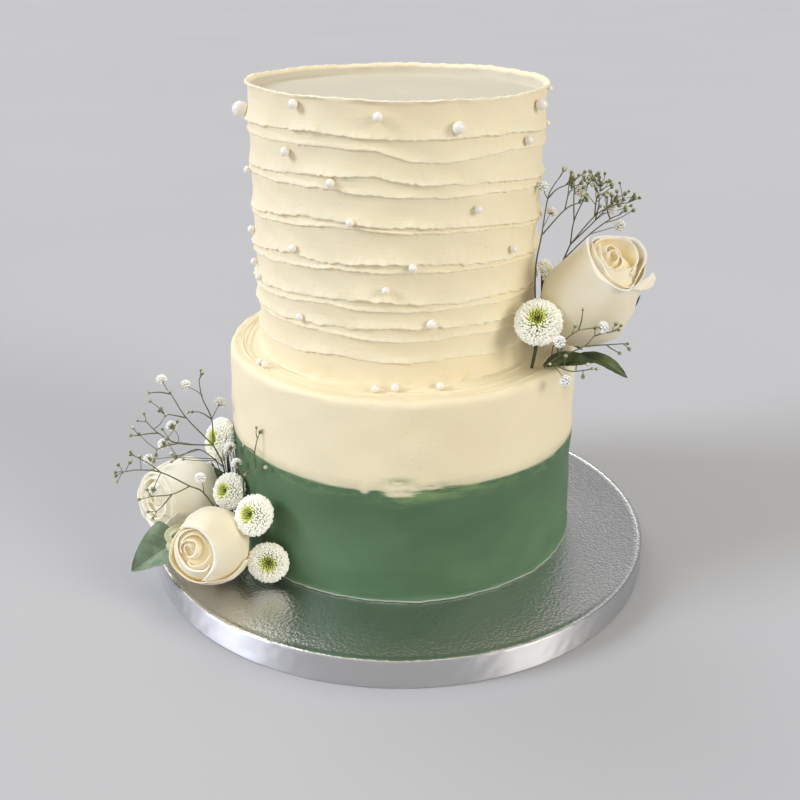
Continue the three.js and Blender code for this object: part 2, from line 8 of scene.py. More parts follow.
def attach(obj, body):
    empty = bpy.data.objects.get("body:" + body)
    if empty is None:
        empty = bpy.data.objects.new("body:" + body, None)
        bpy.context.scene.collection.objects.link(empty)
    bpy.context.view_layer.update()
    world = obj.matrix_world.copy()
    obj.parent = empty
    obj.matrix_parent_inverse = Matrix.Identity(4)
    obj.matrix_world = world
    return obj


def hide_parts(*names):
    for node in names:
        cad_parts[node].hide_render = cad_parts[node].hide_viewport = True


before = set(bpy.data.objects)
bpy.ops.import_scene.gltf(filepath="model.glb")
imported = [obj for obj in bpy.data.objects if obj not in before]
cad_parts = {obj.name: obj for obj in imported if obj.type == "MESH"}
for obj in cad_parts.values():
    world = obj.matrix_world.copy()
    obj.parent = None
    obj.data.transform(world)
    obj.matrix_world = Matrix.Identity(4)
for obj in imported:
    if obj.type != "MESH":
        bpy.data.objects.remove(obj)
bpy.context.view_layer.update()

# Two-tier wedding cake: sizes in millimetres until a mesh is made, angles in degrees from +X.
mm = 0.001
scene = bpy.context.scene
scene.view_settings.view_transform = "Standard"


# Node graphs: a wire wraps a socket so that node maths reads as ordinary maths
class Wire:
    def __init__(self, graph, socket):
        self.graph = graph
        self.socket = socket

    def maths(self, operation, *others):
        return self.graph.node("ShaderNodeMath", {"operation": operation}, (self, *others))

    def __add__(self, other):
        return self.maths("ADD", other)

    def __radd__(self, other):
        return self.maths("ADD", other)

    def __sub__(self, other):
        return self.maths("SUBTRACT", other)

    def __rsub__(self, other):
        return self.graph.node("ShaderNodeMath", {"operation": "SUBTRACT"}, (other, self))

    def __mul__(self, other):
        return self.maths("MULTIPLY", other)

    def __rmul__(self, other):
        return self.maths("MULTIPLY", other)

    def __truediv__(self, other):
        return self.maths("DIVIDE", other)

    def __rtruediv__(self, other):
        return self.graph.node("ShaderNodeMath", {"operation": "DIVIDE"}, (other, self))

    def __pow__(self, other):
        return self.maths("POWER", other)


class Graph:
    def __init__(self, tree):
        self.tree = tree

    def node(self, kind, settings=None, values=(), output=0):
        made = self.tree.nodes.new(kind)
        for key, value in (settings or {}).items():
            setattr(made, key, value)
        pairs = values.items() if isinstance(values, dict) else enumerate(values)
        for key, value in pairs:
            if isinstance(value, Wire):
                self.tree.links.new(value.socket, made.inputs[key])
            elif value is not None:
                made.inputs[key].default_value = value
        return Wire(self, made.outputs[output] if len(made.outputs) else None)

    def mixColour(self, factor, first, second):
        values = {0: factor, 6: rgba(first), 7: rgba(second)}
        return self.node("ShaderNodeMix", {"data_type": "RGBA"}, values, 2)

    def vector(self, operation, *values):
        return self.node("ShaderNodeVectorMath", {"operation": operation}, values)

    def split(self, vector):
        made = self.node("ShaderNodeSeparateXYZ", {}, (vector,)).socket.node
        return [Wire(self, socket) for socket in made.outputs]

    def smoothStep(self, value, low, high):
        settings = {"interpolation_type": "SMOOTHSTEP"}
        return self.node("ShaderNodeMapRange", settings, {0: value, 1: low, 2: high, 3: 0.0, 4: 1.0})

    # Noise in Object coordinates, as so many grains per metre: one number, or one for each axis
    def grain(self, scale, detail=2.0, roughness=0.5, shift=0.0):
        scale = scale if isinstance(scale, tuple) else (scale, scale, scale)
        place = self.node("ShaderNodeTexCoord", output="Object")
        scaled = self.node("ShaderNodeMapping", {}, {0: place, 1: (shift, shift, shift), 3: scale})
        values = {"Vector": scaled, "Scale": 1.0, "Detail": detail, "Roughness": roughness}
        return self.node("ShaderNodeTexNoise", {}, values)

    def attribute(self, name):
        return self.node("ShaderNodeAttribute", {"attribute_name": name}, output="Fac")

    # What geometry trees share: reading and writing an attribute, turning to a direction, and so on
    def named(self, name, kind="FLOAT"):
        return self.node("GeometryNodeInputNamedAttribute", {"data_type": kind}, {"Name": name})

    def marked(self, geometry, name, value, domain="POINT"):
        settings = {"data_type": "FLOAT", "domain": domain}
        values = {"Geometry": geometry, "Name": name, "Value": value}
        return self.node("GeometryNodeStoreNamedAttribute", settings, values)

    def scaled(self, vector, factor):
        return self.vector("SCALE", vector, None, None, factor)

    def alignedTo(self, direction):
        return self.node("FunctionNodeAlignRotationToVector", {"axis": "Z"}, {"Vector": direction})

    def wander(self, seed):
        values = {0: (-1.0, -1.0, -1.0), 1: (1.0, 1.0, 1.0), "Seed": seed}
        return self.node("FunctionNodeRandomValue", {"data_type": "FLOAT_VECTOR"}, values)

    def realised(self, instances, material):
        real = self.node("GeometryNodeRealizeInstances", {}, {0: instances})
        smooth = self.node("GeometryNodeSetShadeSmooth", {}, {0: real})
        return self.node("GeometryNodeSetMaterial", {}, {"Geometry": smooth, "Material": material})


def rgba(colour):
    return (*colour, 1.0) if isinstance(colour, tuple) and len(colour) == 3 else colour


# A new material: its graph, and a function that finishes it from what feeds the shader
def newMaterial(name):
    material = bpy.data.materials.new(name)
    material.use_nodes = True
    material.node_tree.nodes.clear()
    return material, Graph(material.node_tree)


def finishMaterial(graph, colour, roughness, bumps=(), **uniform):
    values = {"Base Color": rgba(colour), "Roughness": roughness}
    if bumps:
        normal = None
        for height, distance, strength in bumps:
            inputs = {"Height": height, "Distance": distance, "Strength": strength}
            if normal is not None:
                inputs["Normal"] = normal
            normal = graph.node("ShaderNodeBump", {}, inputs)
        values["Normal"] = normal
    values.update({key.replace("_", " "): value for key, value in uniform.items()})
    shader = graph.node("ShaderNodeBsdfPrincipled", {}, values)
    graph.node("ShaderNodeOutputMaterial", {}, {"Surface": shader})


# Meshes from numbers
def makeMesh(name, points, faces, attributes=None, smoothAngle=50):
    mesh = bpy.data.meshes.new(name)
    flat = [corner for face in faces for corner in face]
    starts = np.cumsum([0] + [len(face) for face in faces[:-1]]) if len(faces) else []
    mesh.vertices.add(len(points))
    mesh.vertices.foreach_set("co", (np.asarray(points, dtype=np.float64) * mm).ravel())
    if len(faces):
        mesh.loops.add(len(flat))
        mesh.loops.foreach_set("vertex_index", flat)
        mesh.polygons.add(len(faces))
        mesh.polygons.foreach_set("loop_start", starts)
    mesh.update(calc_edges=True)
    mesh.validate()
    for key, values in (attributes or {}).items():
        layer = mesh.attributes.new(key, "FLOAT", "POINT")
        layer.data.foreach_set("value", np.asarray(values, dtype=np.float32))
    if len(faces):
        mesh.shade_smooth()
        mesh.set_sharp_from_angle(angle=math.radians(smoothAngle))
    return mesh


def makePiece(name, mesh, material, replaced):
    piece = bpy.data.objects.new(name, mesh)
    scene.collection.objects.link(piece)
    mesh.materials.append(material)
    settle(piece, replaced)
    return piece


def settle(piece, replaced):
    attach(piece, "root")
    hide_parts(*replaced)


# Faces of a grid of points that closes on itself round each row, with both ends capped by a fan
def turnedFaces(rows, columns):
    faces = []
    for row in range(rows - 1):
        base = row * columns
        for i in range(columns):
            j = (i + 1) % columns
            faces.append((base + i, base + j, base + columns + j, base + columns + i))
    low, high = rows * columns, rows * columns + 1
    last = (rows - 1) * columns
    for i in range(columns):
        j = (i + 1) % columns
        faces.append((low, j, i))
        faces.append((high, last + i, last + j))
    return faces


# Rings as arrays of rows by columns: each part of a ring is one number, or one for each column
def ringTable(rings, columns):
    return [np.array([np.broadcast_to(part, columns) for part in parts]) for parts in zip(*rings)]


# A turned solid from such arrays of radius and height
def turnedMesh(name, radius, height, centre, attributes=None, smoothAngle=50):
    rows, columns = radius.shape
    angle = np.arange(columns) * 2 * math.pi / columns
    x = centre[0] + radius * np.cos(angle)
    y = centre[1] + radius * np.sin(angle)
    points = np.stack([x, y, centre[2] + height], axis=-1).reshape(-1, 3)
    ends = [[centre[0], centre[1], centre[2] + height[end].mean()] for end in (0, -1)]
    points = np.vstack([points, ends])
    spread = {}
    for key, values in (attributes or {}).items():
        spread[key] = np.append(values.ravel(), [values[0].mean(), values[-1].mean()])
    return makeMesh(name, points, turnedFaces(rows, columns), spread, smoothAngle)


# Smooth, seeded unevenness that closes on itself round a turn
def ripple(angle, height, slowest, fastest, tall, count, seed):
    rng = np.random.default_rng(seed)
    total = np.zeros(np.broadcast(angle, height).shape)
    for _ in range(count):
        turns = int(round(slowest * (fastest / slowest) ** rng.random()))
        rise = rng.normal() * turns / tall
        start = rng.random() * 2 * math.pi
        total = total + np.cos(turns * angle + rise * height + start) / math.sqrt(count / 2)
    return total


def ease(value, low, high):
    t = np.clip((value - low) / (high - low), 0, 1)
    return t * t * (3 - 2 * t)


# Camera, light and floor

view = {"place": (0.0, -0.58497, 0.35375), "lookDown": 23.815, "roll": 0.292, "lens": 47.08}

cameraData = bpy.data.cameras.new("camera")
cameraData.lens = view["lens"]
cameraData.sensor_width = 36.0
cameraData.clip_start = 0.01
camera = bpy.data.objects.new("camera", cameraData)
scene.collection.objects.link(camera)
camera.location = view["place"]
tilt = Matrix.Rotation(math.radians(90 - view["lookDown"]), 4, "X")
camera.rotation_euler = (tilt @ Matrix.Rotation(math.radians(view["roll"]), 4, "Z")).to_euler()
scene.camera = camera

# Large soft suns: the compass angle and height that each shines from, how wide it is, strength and colour
lights = {
    "key": {"from": -167, "height": 30, "wide": 24, "strength": 1.86, "colour": (0.955, 1.0, 1.16)},
    "right": {"from": -31, "height": 24, "wide": 28, "strength": 1.5, "colour": (1.0, 0.955, 0.89)},
    "front": {"from": -95, "height": 35, "wide": 60, "strength": 0.13, "colour": (1.0, 0.95, 0.86)},
    "top": {"from": 120, "height": 72, "wide": 90, "strength": 0.75, "colour": (1.0, 1.0, 1.0)},
    "rear": {"from": 120, "height": 46, "wide": 34, "strength": 0.55, "colour": (1.0, 1.0, 1.0)},
}
# The sky is lighter on the left and in front than on the right and behind, with a pale band low down
sky = {
    "light": (0.42, 0.41, 0.392),
    "dark": (0.24, 0.235, 0.23),
    "horizon": (0.60, 0.60, 0.61),
    "toward": (0.8, 0.6),
    "turn": (-0.8, 0.9),
    "band": (0.10, 0.34),
}
for name, light in lights.items():
    lamp = bpy.data.lights.new(name, "SUN")
    lamp.energy = light["strength"]
    lamp.angle = math.radians(light["wide"])
    lamp.color = light["colour"]
    holder = bpy.data.objects.new(name, lamp)
    scene.collection.objects.link(holder)
    around, up = math.radians(light["from"]), math.radians(light["height"])
    source = Vector((math.cos(around) * math.cos(up), math.sin(around) * math.cos(up), math.sin(up)))
    holder.location = source
    holder.rotation_euler = (-source).to_track_quat("-Z", "Y").to_euler()

world = bpy.data.worlds.new("studio")
scene.world = world
world.use_nodes = True
world.node_tree.nodes.clear()
graph = Graph(world.node_tree)
x, y, z = graph.split(graph.node("ShaderNodeTexCoord", output="Generated"))
share = graph.smoothStep(x * sky["toward"][0] + y * sky["toward"][1], *sky["turn"])
colour = graph.mixColour(share, sky["light"], sky["dark"])
colour = graph.mixColour(graph.smoothStep(z, *sky["band"]), sky["horizon"], colour)
glow = graph.node("ShaderNodeBackground", {}, {"Color": colour})
graph.node("ShaderNodeOutputWorld", {}, {"Surface": glow})

ground = {"reach": 14.0, "dark": (0.46, 0.46, 0.47), "light": (0.50, 0.50, 0.505), "rough": 0.9, "shine": 0.1}
floorMesh = bpy.data.meshes.new("floor")
reach = ground["reach"]
corners = [(-reach, -reach, 0), (reach, -reach, 0), (reach, reach, 0), (-reach, reach, 0)]
floorMesh.from_pydata(corners, [], [(0, 1, 2, 3)])
floor = bpy.data.objects.new("floor", floorMesh)
scene.collection.objects.link(floor)
material, graph = newMaterial("paleFloor")
colour = graph.mixColour(graph.grain(2.0, 3.0), ground["dark"], ground["light"])
finishMaterial(graph, colour, ground["rough"], Specular_IOR_Level=ground["shine"])
floorMesh.materials.append(material)
print("camera, lights and floor are set")


# Cake board: a thick drum covered in embossed foil, its edge strip folded over the top

board = {
    "radius": 152.4,
    "thickness": 17.0,
    "rounding": 1.2,
    "roundingSteps": 5,
    "foldWidth": 2.6,
    "foldStep": 0.25,
    "pucker": 0.1,
    "columns": 360,
}
foil = {
    "top": ((0.58, 0.58, 0.58), (0.68, 0.68, 0.685)),
    "edge": ((0.58, 0.58, 0.59), (0.74, 0.74, 0.75)),
    "line": (0.92, 0.92, 0.93),
    "lineStart": (0.1493, 0.1497),
    "lineEnd": (0.1512, 0.1516),
}


def boardMesh():
    r, t, c = board["radius"], board["thickness"], board["rounding"]
    fold, top = r - board["foldWidth"], t - board["foldStep"]
    steps = board["roundingSteps"]
    turns = [math.pi / 2 * i / steps for i in range(steps + 1)]
    rows = [(20, 0), (r - 6, 0), (r - c, 0)]
    rows += [(r - c + c * math.sin(turn), c - c * math.cos(turn)) for turn in turns[1:]]
    rows += [(r, t * k / 6) for k in range(1, 6)]
    rows += [(r - c + c * math.cos(turn), t - c + c * math.sin(turn)) for turn in turns]
    rows += [(fold + 0.5, t), (fold, t - board["foldStep"] * 0.4), (fold - 0.3, top)]
    rows += [(ring, top) for ring in (fold - 3, 112, 50, 12)]
    columns = board["columns"]
    radius, height = ringTable(rows, columns)
    angle = np.arange(columns) * 2 * math.pi / columns
    pucker = 0.12 + board["pucker"] * ripple(angle, height, 9, 120, 30, 12, 3)
    radius = radius - np.where(radius > r - 4, pucker, 0)
    radius = np.minimum(radius, r)
    return turnedMesh("boardDrum", radius, height, (0, 0, 0), smoothAngle=40)


# The top is embossed all over with fine crinkles, and a bright line runs along the folded strip
def foilTopMaterial():
    material, graph = newMaterial("silverTop")
    place = graph.node("ShaderNodeTexCoord", output="Object")
    x, y, _ = graph.split(place)
    cells = graph.node("ShaderNodeMapping", {}, {0: place, 3: (520.0, 520.0, 520.0)})
    values = {"Vector": cells, "Scale": 1.0, "Smoothness": 0.4}
    crinkle = graph.node("ShaderNodeTexVoronoi", {"feature": "SMOOTH_F1"}, values)
    wrinkle = graph.grain(1000.0, 3.0, 0.6)
    patches = graph.grain(16.0, 2.0)
    radius = (x * x + y * y) ** 0.5
    line = graph.smoothStep(radius, *foil["lineStart"]) * (1.0 - graph.smoothStep(radius, *foil["lineEnd"]))
    colour = graph.mixColour(line * 0.7, graph.mixColour(patches, *foil["top"]), foil["line"])
    roughness = 0.21 + patches * 0.1 - line * 0.05
    bumps = [(crinkle * 0.7 + wrinkle * 0.6, 0.00045, 0.6)]
    finishMaterial(graph, colour, roughness, bumps, Metallic=1.0)
    return material


# The edge is brushed level, so that it smears each light up and down
def foilEdgeMaterial():
    material, graph = newMaterial("silverEdge")
    brush = graph.grain((30.0, 30.0, 1500.0), 3.0, 0.7)
    dents = graph.grain((70.0, 70.0, 120.0), 2.0)
    patches = graph.grain((25.0, 25.0, 60.0), 2.0)
    colour = graph.mixColour(patches * 0.5 + brush * 0.5, *foil["edge"])
    roughness = 0.47 + brush * 0.08
    bumps = [(brush, 0.0002, 0.25), (dents, 0.0006, 0.3)]
    finishMaterial(graph, colour, roughness, bumps, Metallic=1.0, Anisotropic=0.9, Anisotropic_Rotation=0.25)
    return material


drum = makePiece("boardDrum", boardMesh(), foilTopMaterial(), ["cake_board"])
drum.data.materials.append(foilEdgeMaterial())
for face in drum.data.polygons:
    face.material_index = 0 if face.normal.z > 0.8 else 1
print("board made")


# Icing

icing = {
    "cream": (0.86, 0.75, 0.495),
    "creamLight": (0.90, 0.81, 0.575),
    # painted highlight: the pale colour painted on the lip crests and the rim edge
    "crestHighlight": (0.95, 0.91, 0.76),
    # painted shade: the next two colours are painted on the floor inside the rim
    "recess": (0.57, 0.52, 0.40),
    "recessShadeLight": (0.66, 0.60, 0.45),
    "green": (0.072, 0.152, 0.072),
    "greenLight": (0.118, 0.224, 0.112),
    # painted shade: the darker green painted towards the top of the coat
    "greenShadedTop": (0.048, 0.108, 0.046),
    "foot": (0.62, 0.68, 0.56),
    "rubbed": (0.205, 0.315, 0.125),
    "smudge": (0.19, 0.265, 0.125),
    "roughness": 0.62,
    "ridgedStrokes": 0.30,
    "bandedStrokes": 0.14,
}


# Painted highlight: the torn edges of the ridges and the rim are painted paler. Painted shade: the floor
# inside the rim is painted greyer and darker.
def ridgedColour(graph, cream, clouds):
    crestHighlight = graph.attribute("lipEdge") * graph.smoothStep(graph.grain((260.0, 260.0, 700.0), 3.0), 0.40, 0.60)
    colour = graph.mixColour(crestHighlight * 0.55, cream, icing["crestHighlight"])
    recessShade = graph.mixColour(clouds, icing["recess"], icing["recessShadeLight"])
    return graph.mixColour(graph.attribute("inRecess"), colour, recessShade)


# Green up to its edge and painted darker towards its top as painted shade, with a haze of it in the cream
# above, rubbed and smudged at the front and with a pale line at its foot. Also returns how far the colour is
# cream.
def bandedColour(graph, cream, clouds, trowel):
    above = graph.attribute("aboveEdge")
    smear = graph.attribute("smear")
    feather = graph.grain((34.0, 34.0, 260.0), 4.0, 0.65, 4.0) - 0.5
    lift = above + feather * (3.0 + smear * 9.0)
    creamShare = graph.smoothStep(lift, -0.9, 0.9)
    haze = graph.smoothStep(lift + feather * 5.0, -3.5, 7.5)
    broad = graph.smoothStep(graph.grain((11.0, 11.0, 22.0), 3.0, 0.6, 9.0), 0.36, 0.66)
    green = graph.mixColour(broad * 0.6 + clouds * 0.2 + trowel * 0.2, icing["green"], icing["greenLight"])
    # painted shade: the green is painted darker towards its top and stays lighter low down near the board
    deep = graph.smoothStep(graph.attribute("aboveBoard"), 14.0, 56.0)
    green = graph.mixColour(deep * 0.42, green, icing["greenShadedTop"])
    blot = graph.smoothStep(graph.grain((120.0, 120.0, 300.0), 3.0, 0.6, 5.0), 0.38, 0.62)
    hazy = graph.mixColour(smear * blot * 0.3 + 0.35, cream, green)
    tinted = graph.mixColour(haze, hazy, cream)
    foot = 1.0 - graph.smoothStep(graph.attribute("aboveBoard"), 0.5, 1.1)
    green = graph.mixColour(foot * 0.55, green, icing["foot"])
    streaks = graph.smoothStep(feather, -0.12, 0.14)
    rubbed = graph.smoothStep(above, -9.5, -4.0) * (graph.attribute("rubbed") * streaks * 0.75 + blot * 0.28)
    green = graph.mixColour(rubbed, green, icing["rubbed"])
    colour = graph.mixColour(creamShare, green, tinted)
    smudge = graph.attribute("smudge") * graph.smoothStep(feather + blot * 0.25, -0.08, 0.16)
    return graph.mixColour(smudge * 0.72, colour, icing["smudge"]), creamShare


# Buttercream: level trowel marks, a fine grain, pits and soft clouds of colour
def icingMaterial(name, banded):
    material, graph = newMaterial(name)
    clouds = graph.grain((22.0, 22.0, 30.0), 3.0)
    trowel = graph.grain((26.0, 26.0, 520.0), 3.0, 0.6)
    fineGrain = graph.grain(1500.0, 2.0)
    pits = graph.smoothStep(graph.grain(420.0, 2.0), 0.66, 0.78)
    cream = graph.mixColour(clouds, icing["cream"], icing["creamLight"])
    roughness = icing["roughness"] - trowel * 0.14
    if banded:
        colour, creamShare = bandedColour(graph, cream, clouds, trowel)
        roughness = roughness - (1.0 - creamShare) * 0.06
    else:
        colour = ridgedColour(graph, cream, clouds)
    strokes = icing["bandedStrokes"] if banded else icing["ridgedStrokes"]
    bumps = [(trowel, 0.0006, strokes), (fineGrain, 0.0002, 0.45), (1.0 - pits, 0.0005, 0.45)]
    finishMaterial(graph, colour, roughness, bumps, Subsurface_Weight=0.12, Subsurface_Scale=0.003)
    return material


plainIcing = icingMaterial("creamIcing", False)
bandedIcing = icingMaterial("bandedIcing", True)

lower = {
    "centre": (1.4, 6.4, 17.0),
    "baseRadius": 105.4,
    "topRadius": 102.4,
    "height": 118.0,
    "edgeRounding": 3.2,
    "brim": 0.8,
    "columns": 540,
    "edgeProfile": [(-0.15, -2.1), (-0.5, -1.1), (-1.1, -0.35), (-1.9, 0.15), (-2.8, 0.45), (-3.8, 0.35)],
}
# The green coat's upper edge waves and rises a little at the front, where a tongue of cream and a nick dip
# into it. The smear, the rubbed part and the smudge are places in its colour.
coat = {
    "height": 68.0,
    "thickness": 5.0,
    "wave": 0.9,
    "tongue": {"at": -91.5, "wide": 4.2, "deep": 3.4},
    "nick": {"at": -101.2, "wide": 1.5, "deep": 2.0},
    "rise": {"at": -82, "wide": 26, "tall": 2.3},
    "smear": {"at": -85, "wide": 12},
    "rubbed": {"at": -78, "wide": 13},
    "smudge": {"at": -91, "wide": 4.2, "level": 73.8, "tall": 2.1},
    "footProfile": [(0.9, 0.0), (1.0, 0.35), (0.55, 0.9), (0.1, 1.6), (-0.1, 2.4)],
}


def lowerWall(height):
    share = height / lower["height"]
    return lower["baseRadius"] + (lower["topRadius"] - lower["baseRadius"]) * share


# A spot on the wall fades to both sides of its place, the more sharply the higher the power
def besideSpot(angle, spot, power=2):
    degrees = (np.degrees(angle) + 180) % 360 - 180
    return -(((degrees - spot["at"]) / spot["wide"]) ** power)


def coatEdge(angle):
    tongue, nick, rise = [np.exp(besideSpot(angle, coat[spot])) for spot in ("tongue", "nick", "rise")]
    wave = np.sin(2 * angle + 1.2) + 0.7 * np.sin(5 * angle + 0.4)
    raised = coat["height"] + coat["wave"] * wave + coat["rise"]["tall"] * rise
    return raised - coat["tongue"]["deep"] * tongue - coat["nick"]["deep"] * nick


# Slow dents and level scraper marks over the wall of the lower tier
def wallRelief(angle, height):
    slow = 0.24 * ripple(angle, height, 2, 14, 90, 10, 21)
    marks = 0.018 * ripple(angle, height * 30, 3, 30, 60, 26, 22)
    return slow + marks


def lowerAttributes(angle, height):
    smudge = coat["smudge"]
    return {
        "aboveEdge": height - coatEdge(angle),
        "aboveBoard": height,
        "smear": np.exp(besideSpot(angle, coat["smear"])),
        "rubbed": np.exp(besideSpot(angle, coat["rubbed"], 4)),
        "smudge": np.exp(besideSpot(angle, smudge) - ((height - smudge["level"]) / smudge["tall"]) ** 2),
    }


def greenMesh():
    columns = lower["columns"]
    angle = np.arange(columns) * 2 * math.pi / columns
    edge = coatEdge(angle)
    inner = lower["baseRadius"] - coat["thickness"]
    rows = [(inner, 0), (lower["baseRadius"] - 1, 0)]
    for out, up in coat["footProfile"]:
        ragged = 1 + 0.35 * ripple(angle, 0, 8, 90, 1, 8, 31)
        rows.append((lowerWall(up) + out * ragged, up))
    for share in np.linspace(0.045, 1.0, 56):
        height = edge * share
        rows.append((lowerWall(height) + wallRelief(angle, height) - 0.1, height))
    rows.append((inner, edge))
    radius, height = ringTable(rows, columns)
    count = len(rows)
    x = lower["centre"][0] + radius * np.cos(angle)
    y = lower["centre"][1] + radius * np.sin(angle)
    points = np.stack([x, y, lower["centre"][2] + height], axis=-1).reshape(-1, 3)
    faces = []
    for row in range(count):
        a, b = row * columns, ((row + 1) % count) * columns
        faces += [(a + i, a + (i + 1) % columns, b + (i + 1) % columns, b + i) for i in range(columns)]
    spread = lowerAttributes(np.tile(angle, (count, 1)), height)
    spread = {key: values.ravel() for key, values in spread.items()}
    return makeMesh("greenBand", points, faces, spread, 60)


def lowerMesh():
    columns = lower["columns"]
    angle = np.arange(columns) * 2 * math.pi / columns
    edge = coatEdge(angle)
    inner = lower["baseRadius"] - coat["thickness"]
    top, c = lower["height"], lower["edgeRounding"]
    rows = [(30, 0), (inner, 0), (inner, edge)]
    for share in np.linspace(0, 1, 46):
        height = edge + (top - c - edge) * share
        rows.append((lowerWall(height) + wallRelief(angle, height) - 0.1, height))
    wobble = 0.5 * ripple(angle, 0, 2, 24, 1, 10, 41)
    crest = 0.35 * ripple(angle, 0, 6, 70, 1, 14, 42)
    wall = lowerWall(top - c) + wallRelief(angle, top - c) - 0.1
    for out, up in lower["edgeProfile"]:
        share = np.clip((up + c) / c, 0, 1)
        radius = wall + out + wobble * 0.4 * share
        rows.append((radius, top + up + share * (lower["brim"] * 0.7 + crest * 0.6)))
    # the ledge is dished, with long swirling strokes, and hidden under the upper tier further in
    for depth in np.linspace(6, 31, 34):
        dish = lower["brim"] - 1.2 * ease(depth, 3.5, 14) + 1.3 * ease(depth, 15, 27)
        swirl = 0.20 * ripple(angle + depth * 0.012, depth * 9, 2, 9, 6, 12, 43)
        rows.append((wall - depth, top + dish + swirl * ease(depth, 4, 8)))
    rows.append((55, top - 1))
    radius, height = ringTable(rows, columns)
    attributes = lowerAttributes(np.tile(angle, (len(rows), 1)), height)
    return turnedMesh("lowerTier", radius, height, lower["centre"], attributes, 60)


makePiece("greenBand", greenMesh(), bandedIcing, ["green_icing"])
makePiece("lowerTier", lowerMesh(), bandedIcing, ["lower_tier"])
print("lower tier made")


# Upper tier: bands of icing that each end below in a thin torn lip

upper = {
    "centre": (-2.5, 7.2, 135.0),
    "baseRadius": 80.6,
    "topRadius": 82.0,
    "height": 149.0,
    "footRadius": 82.2,
    "footShares": (0.08, 0.16, 0.3, 0.45, 0.6, 0.75, 0.88, 0.96),
    "lipGap": 2.2,
    "bandShares": (0.16, 0.28, 0.42, 0.58, 0.74, 0.88, 0.96),
    "rimProfile": [(0.75, 0.0), (0.55, 0.35), (0.1, 0.5), (-0.6, 0.45), (-1.3, 0.1), (-1.9, -0.7)],
    "rimWidth": 3.0,
    "recess": 6.5,
    "recessRings": (70, 60, 48, 36, 24, 12, 4),
    "columns": 540,
}

# Each lip: how far it stands out, how ragged it is, then angle and height along its run
lips = [
    (0.8, 0.5, [(-133, 13.8), (-114, 16.8), (-97, 14.6), (-85, 14.1), (-68, 15.2), (-47, 12.8)]),
    (0.6, 0.6, [(-120, 28.7), (-111, 27.8), (-97, 26.4), (-81, 25.8), (-63, 26.8), (-40, 24.8)]),
    (1.1, 0.9, [(-161, 25.6), (-129, 32.1), (-105, 32.6), (-89, 33.7), (-72, 33), (-47, 31.3)]),
    (0.6, 0.6, [(-167, 38.0), (-116, 44.6), (-105, 42.5), (-85, 42.6), (-64, 42.6), (-34, 40.6)]),
    (1.2, 1.0, [
        (-167, 42.4), (-135, 46.2), (-116, 47.7), (-97, 48.4), (-85, 46.8), (-64, 45.6), (-48, 46.3),
        (-21, 41.5),
    ]),
    (0.7, 0.8, [(-172, 57.3), (-113, 63.8), (-97, 63.3), (-81, 63.6), (-54, 62.4), (-16, 58.7)]),
    (1.2, 1.1, [
        (-172, 60.3), (-134, 68.4), (-116, 66.4), (-98, 67.9), (-81, 68), (-59, 65.6), (-17, 61.5),
    ]),
    (0.6, 0.7, [(-172, 79.0), (-108, 86.2), (-93, 84.2), (-79, 83.7), (-55, 82.6), (-20, 76.8)]),
    (1.3, 1.0, [
        (-172, 81.7), (-123, 89.7), (-108, 88.6), (-97, 86.6), (-85, 87.0), (-55, 84.9), (-20, 78.8),
    ]),
    (0.7, 0.9, [
        (-147, 104.0), (-111, 104.9), (-103, 102.9), (-90, 102.3), (-73, 101.1), (-56, 101.5), (-17, 97.5),
    ]),
    (1.0, 1.0, [
        (-159, 107.3), (-122, 111), (-97, 112.1), (-84, 108.4), (-74, 107.8), (-50, 106.6), (-17, 101.4),
    ]),
    (0.5, 0.5, [
        (-153, 124.4), (-122, 125.4), (-97, 124.8), (-85, 119.7), (-74, 118.2), (-46, 121.7), (-17, 118.2),
    ]),
    (1.4, 0.7, [
        (-163, 129.9), (-121, 132.6), (-106, 130.9), (-86, 129.9), (-68, 130.1), (-46, 130.3), (-8, 125.3),
    ]),
]


def upperWall(height):
    return upper["baseRadius"] + (upper["topRadius"] - upper["baseRadius"]) * height / upper["height"]


# A run of heights that passes its points and closes smoothly round the far side
def lipLine(angle, points, index, ragged):
    degrees = (np.degrees(angle) + 90) % 360 - 90
    at = np.array([(p[0] + 90) % 360 - 90 for p in points])
    level = np.array([p[1] for p in points])
    order = np.argsort(at)
    at, level = at[order], level[order]
    around = np.concatenate([at - 360, at, at + 360])
    levels = np.concatenate([level, level, level])
    line = np.interp(degrees, around, levels)
    width = max(3, len(angle) // 60)
    kernel = np.hanning(width + 2)[1:-1]
    kernel /= kernel.sum()
    padded = np.concatenate([line[-width:], line, line[:width]])
    line = np.convolve(padded, kernel, "same")[width:-width]
    far = ease(np.sin(angle), -0.1, 0.5)
    line = line + far * 1.4 * ripple(angle, 0, 2, 7, 1, 5, 60 + index)
    coarse = ripple(angle, 0, 14, 60, 1, 8, 80 + index)
    fine = ripple(angle, 0, 70, 190, 1, 16, 90 + index)
    return line + ragged * (coarse * 0.22 + fine * 0.16)


# The lips from the bottom up, kept clear of one another
def lipLines(angle):
    lines = []
    for index, (_, ragged, points) in enumerate(lips):
        line = lipLine(angle, points, index, ragged)
        lines.append(np.maximum(line, lines[-1] + upper["lipGap"]) if lines else line)
    return lines


# Rings of the upper tier hold a radius, a height, how much painted highlight they carry as lip crest and how
# much painted shade they carry as recess
def wallRing(angle, height, out, crestHighlight=0.0):
    slow = 0.22 * ripple(angle, height, 3, 16, 60, 10, 51)
    marks = 0.06 * ripple(angle, height * 30, 3, 26, 60, 22, 52)
    return upperWall(height) + out + slow + marks, height, crestHighlight, 0.0


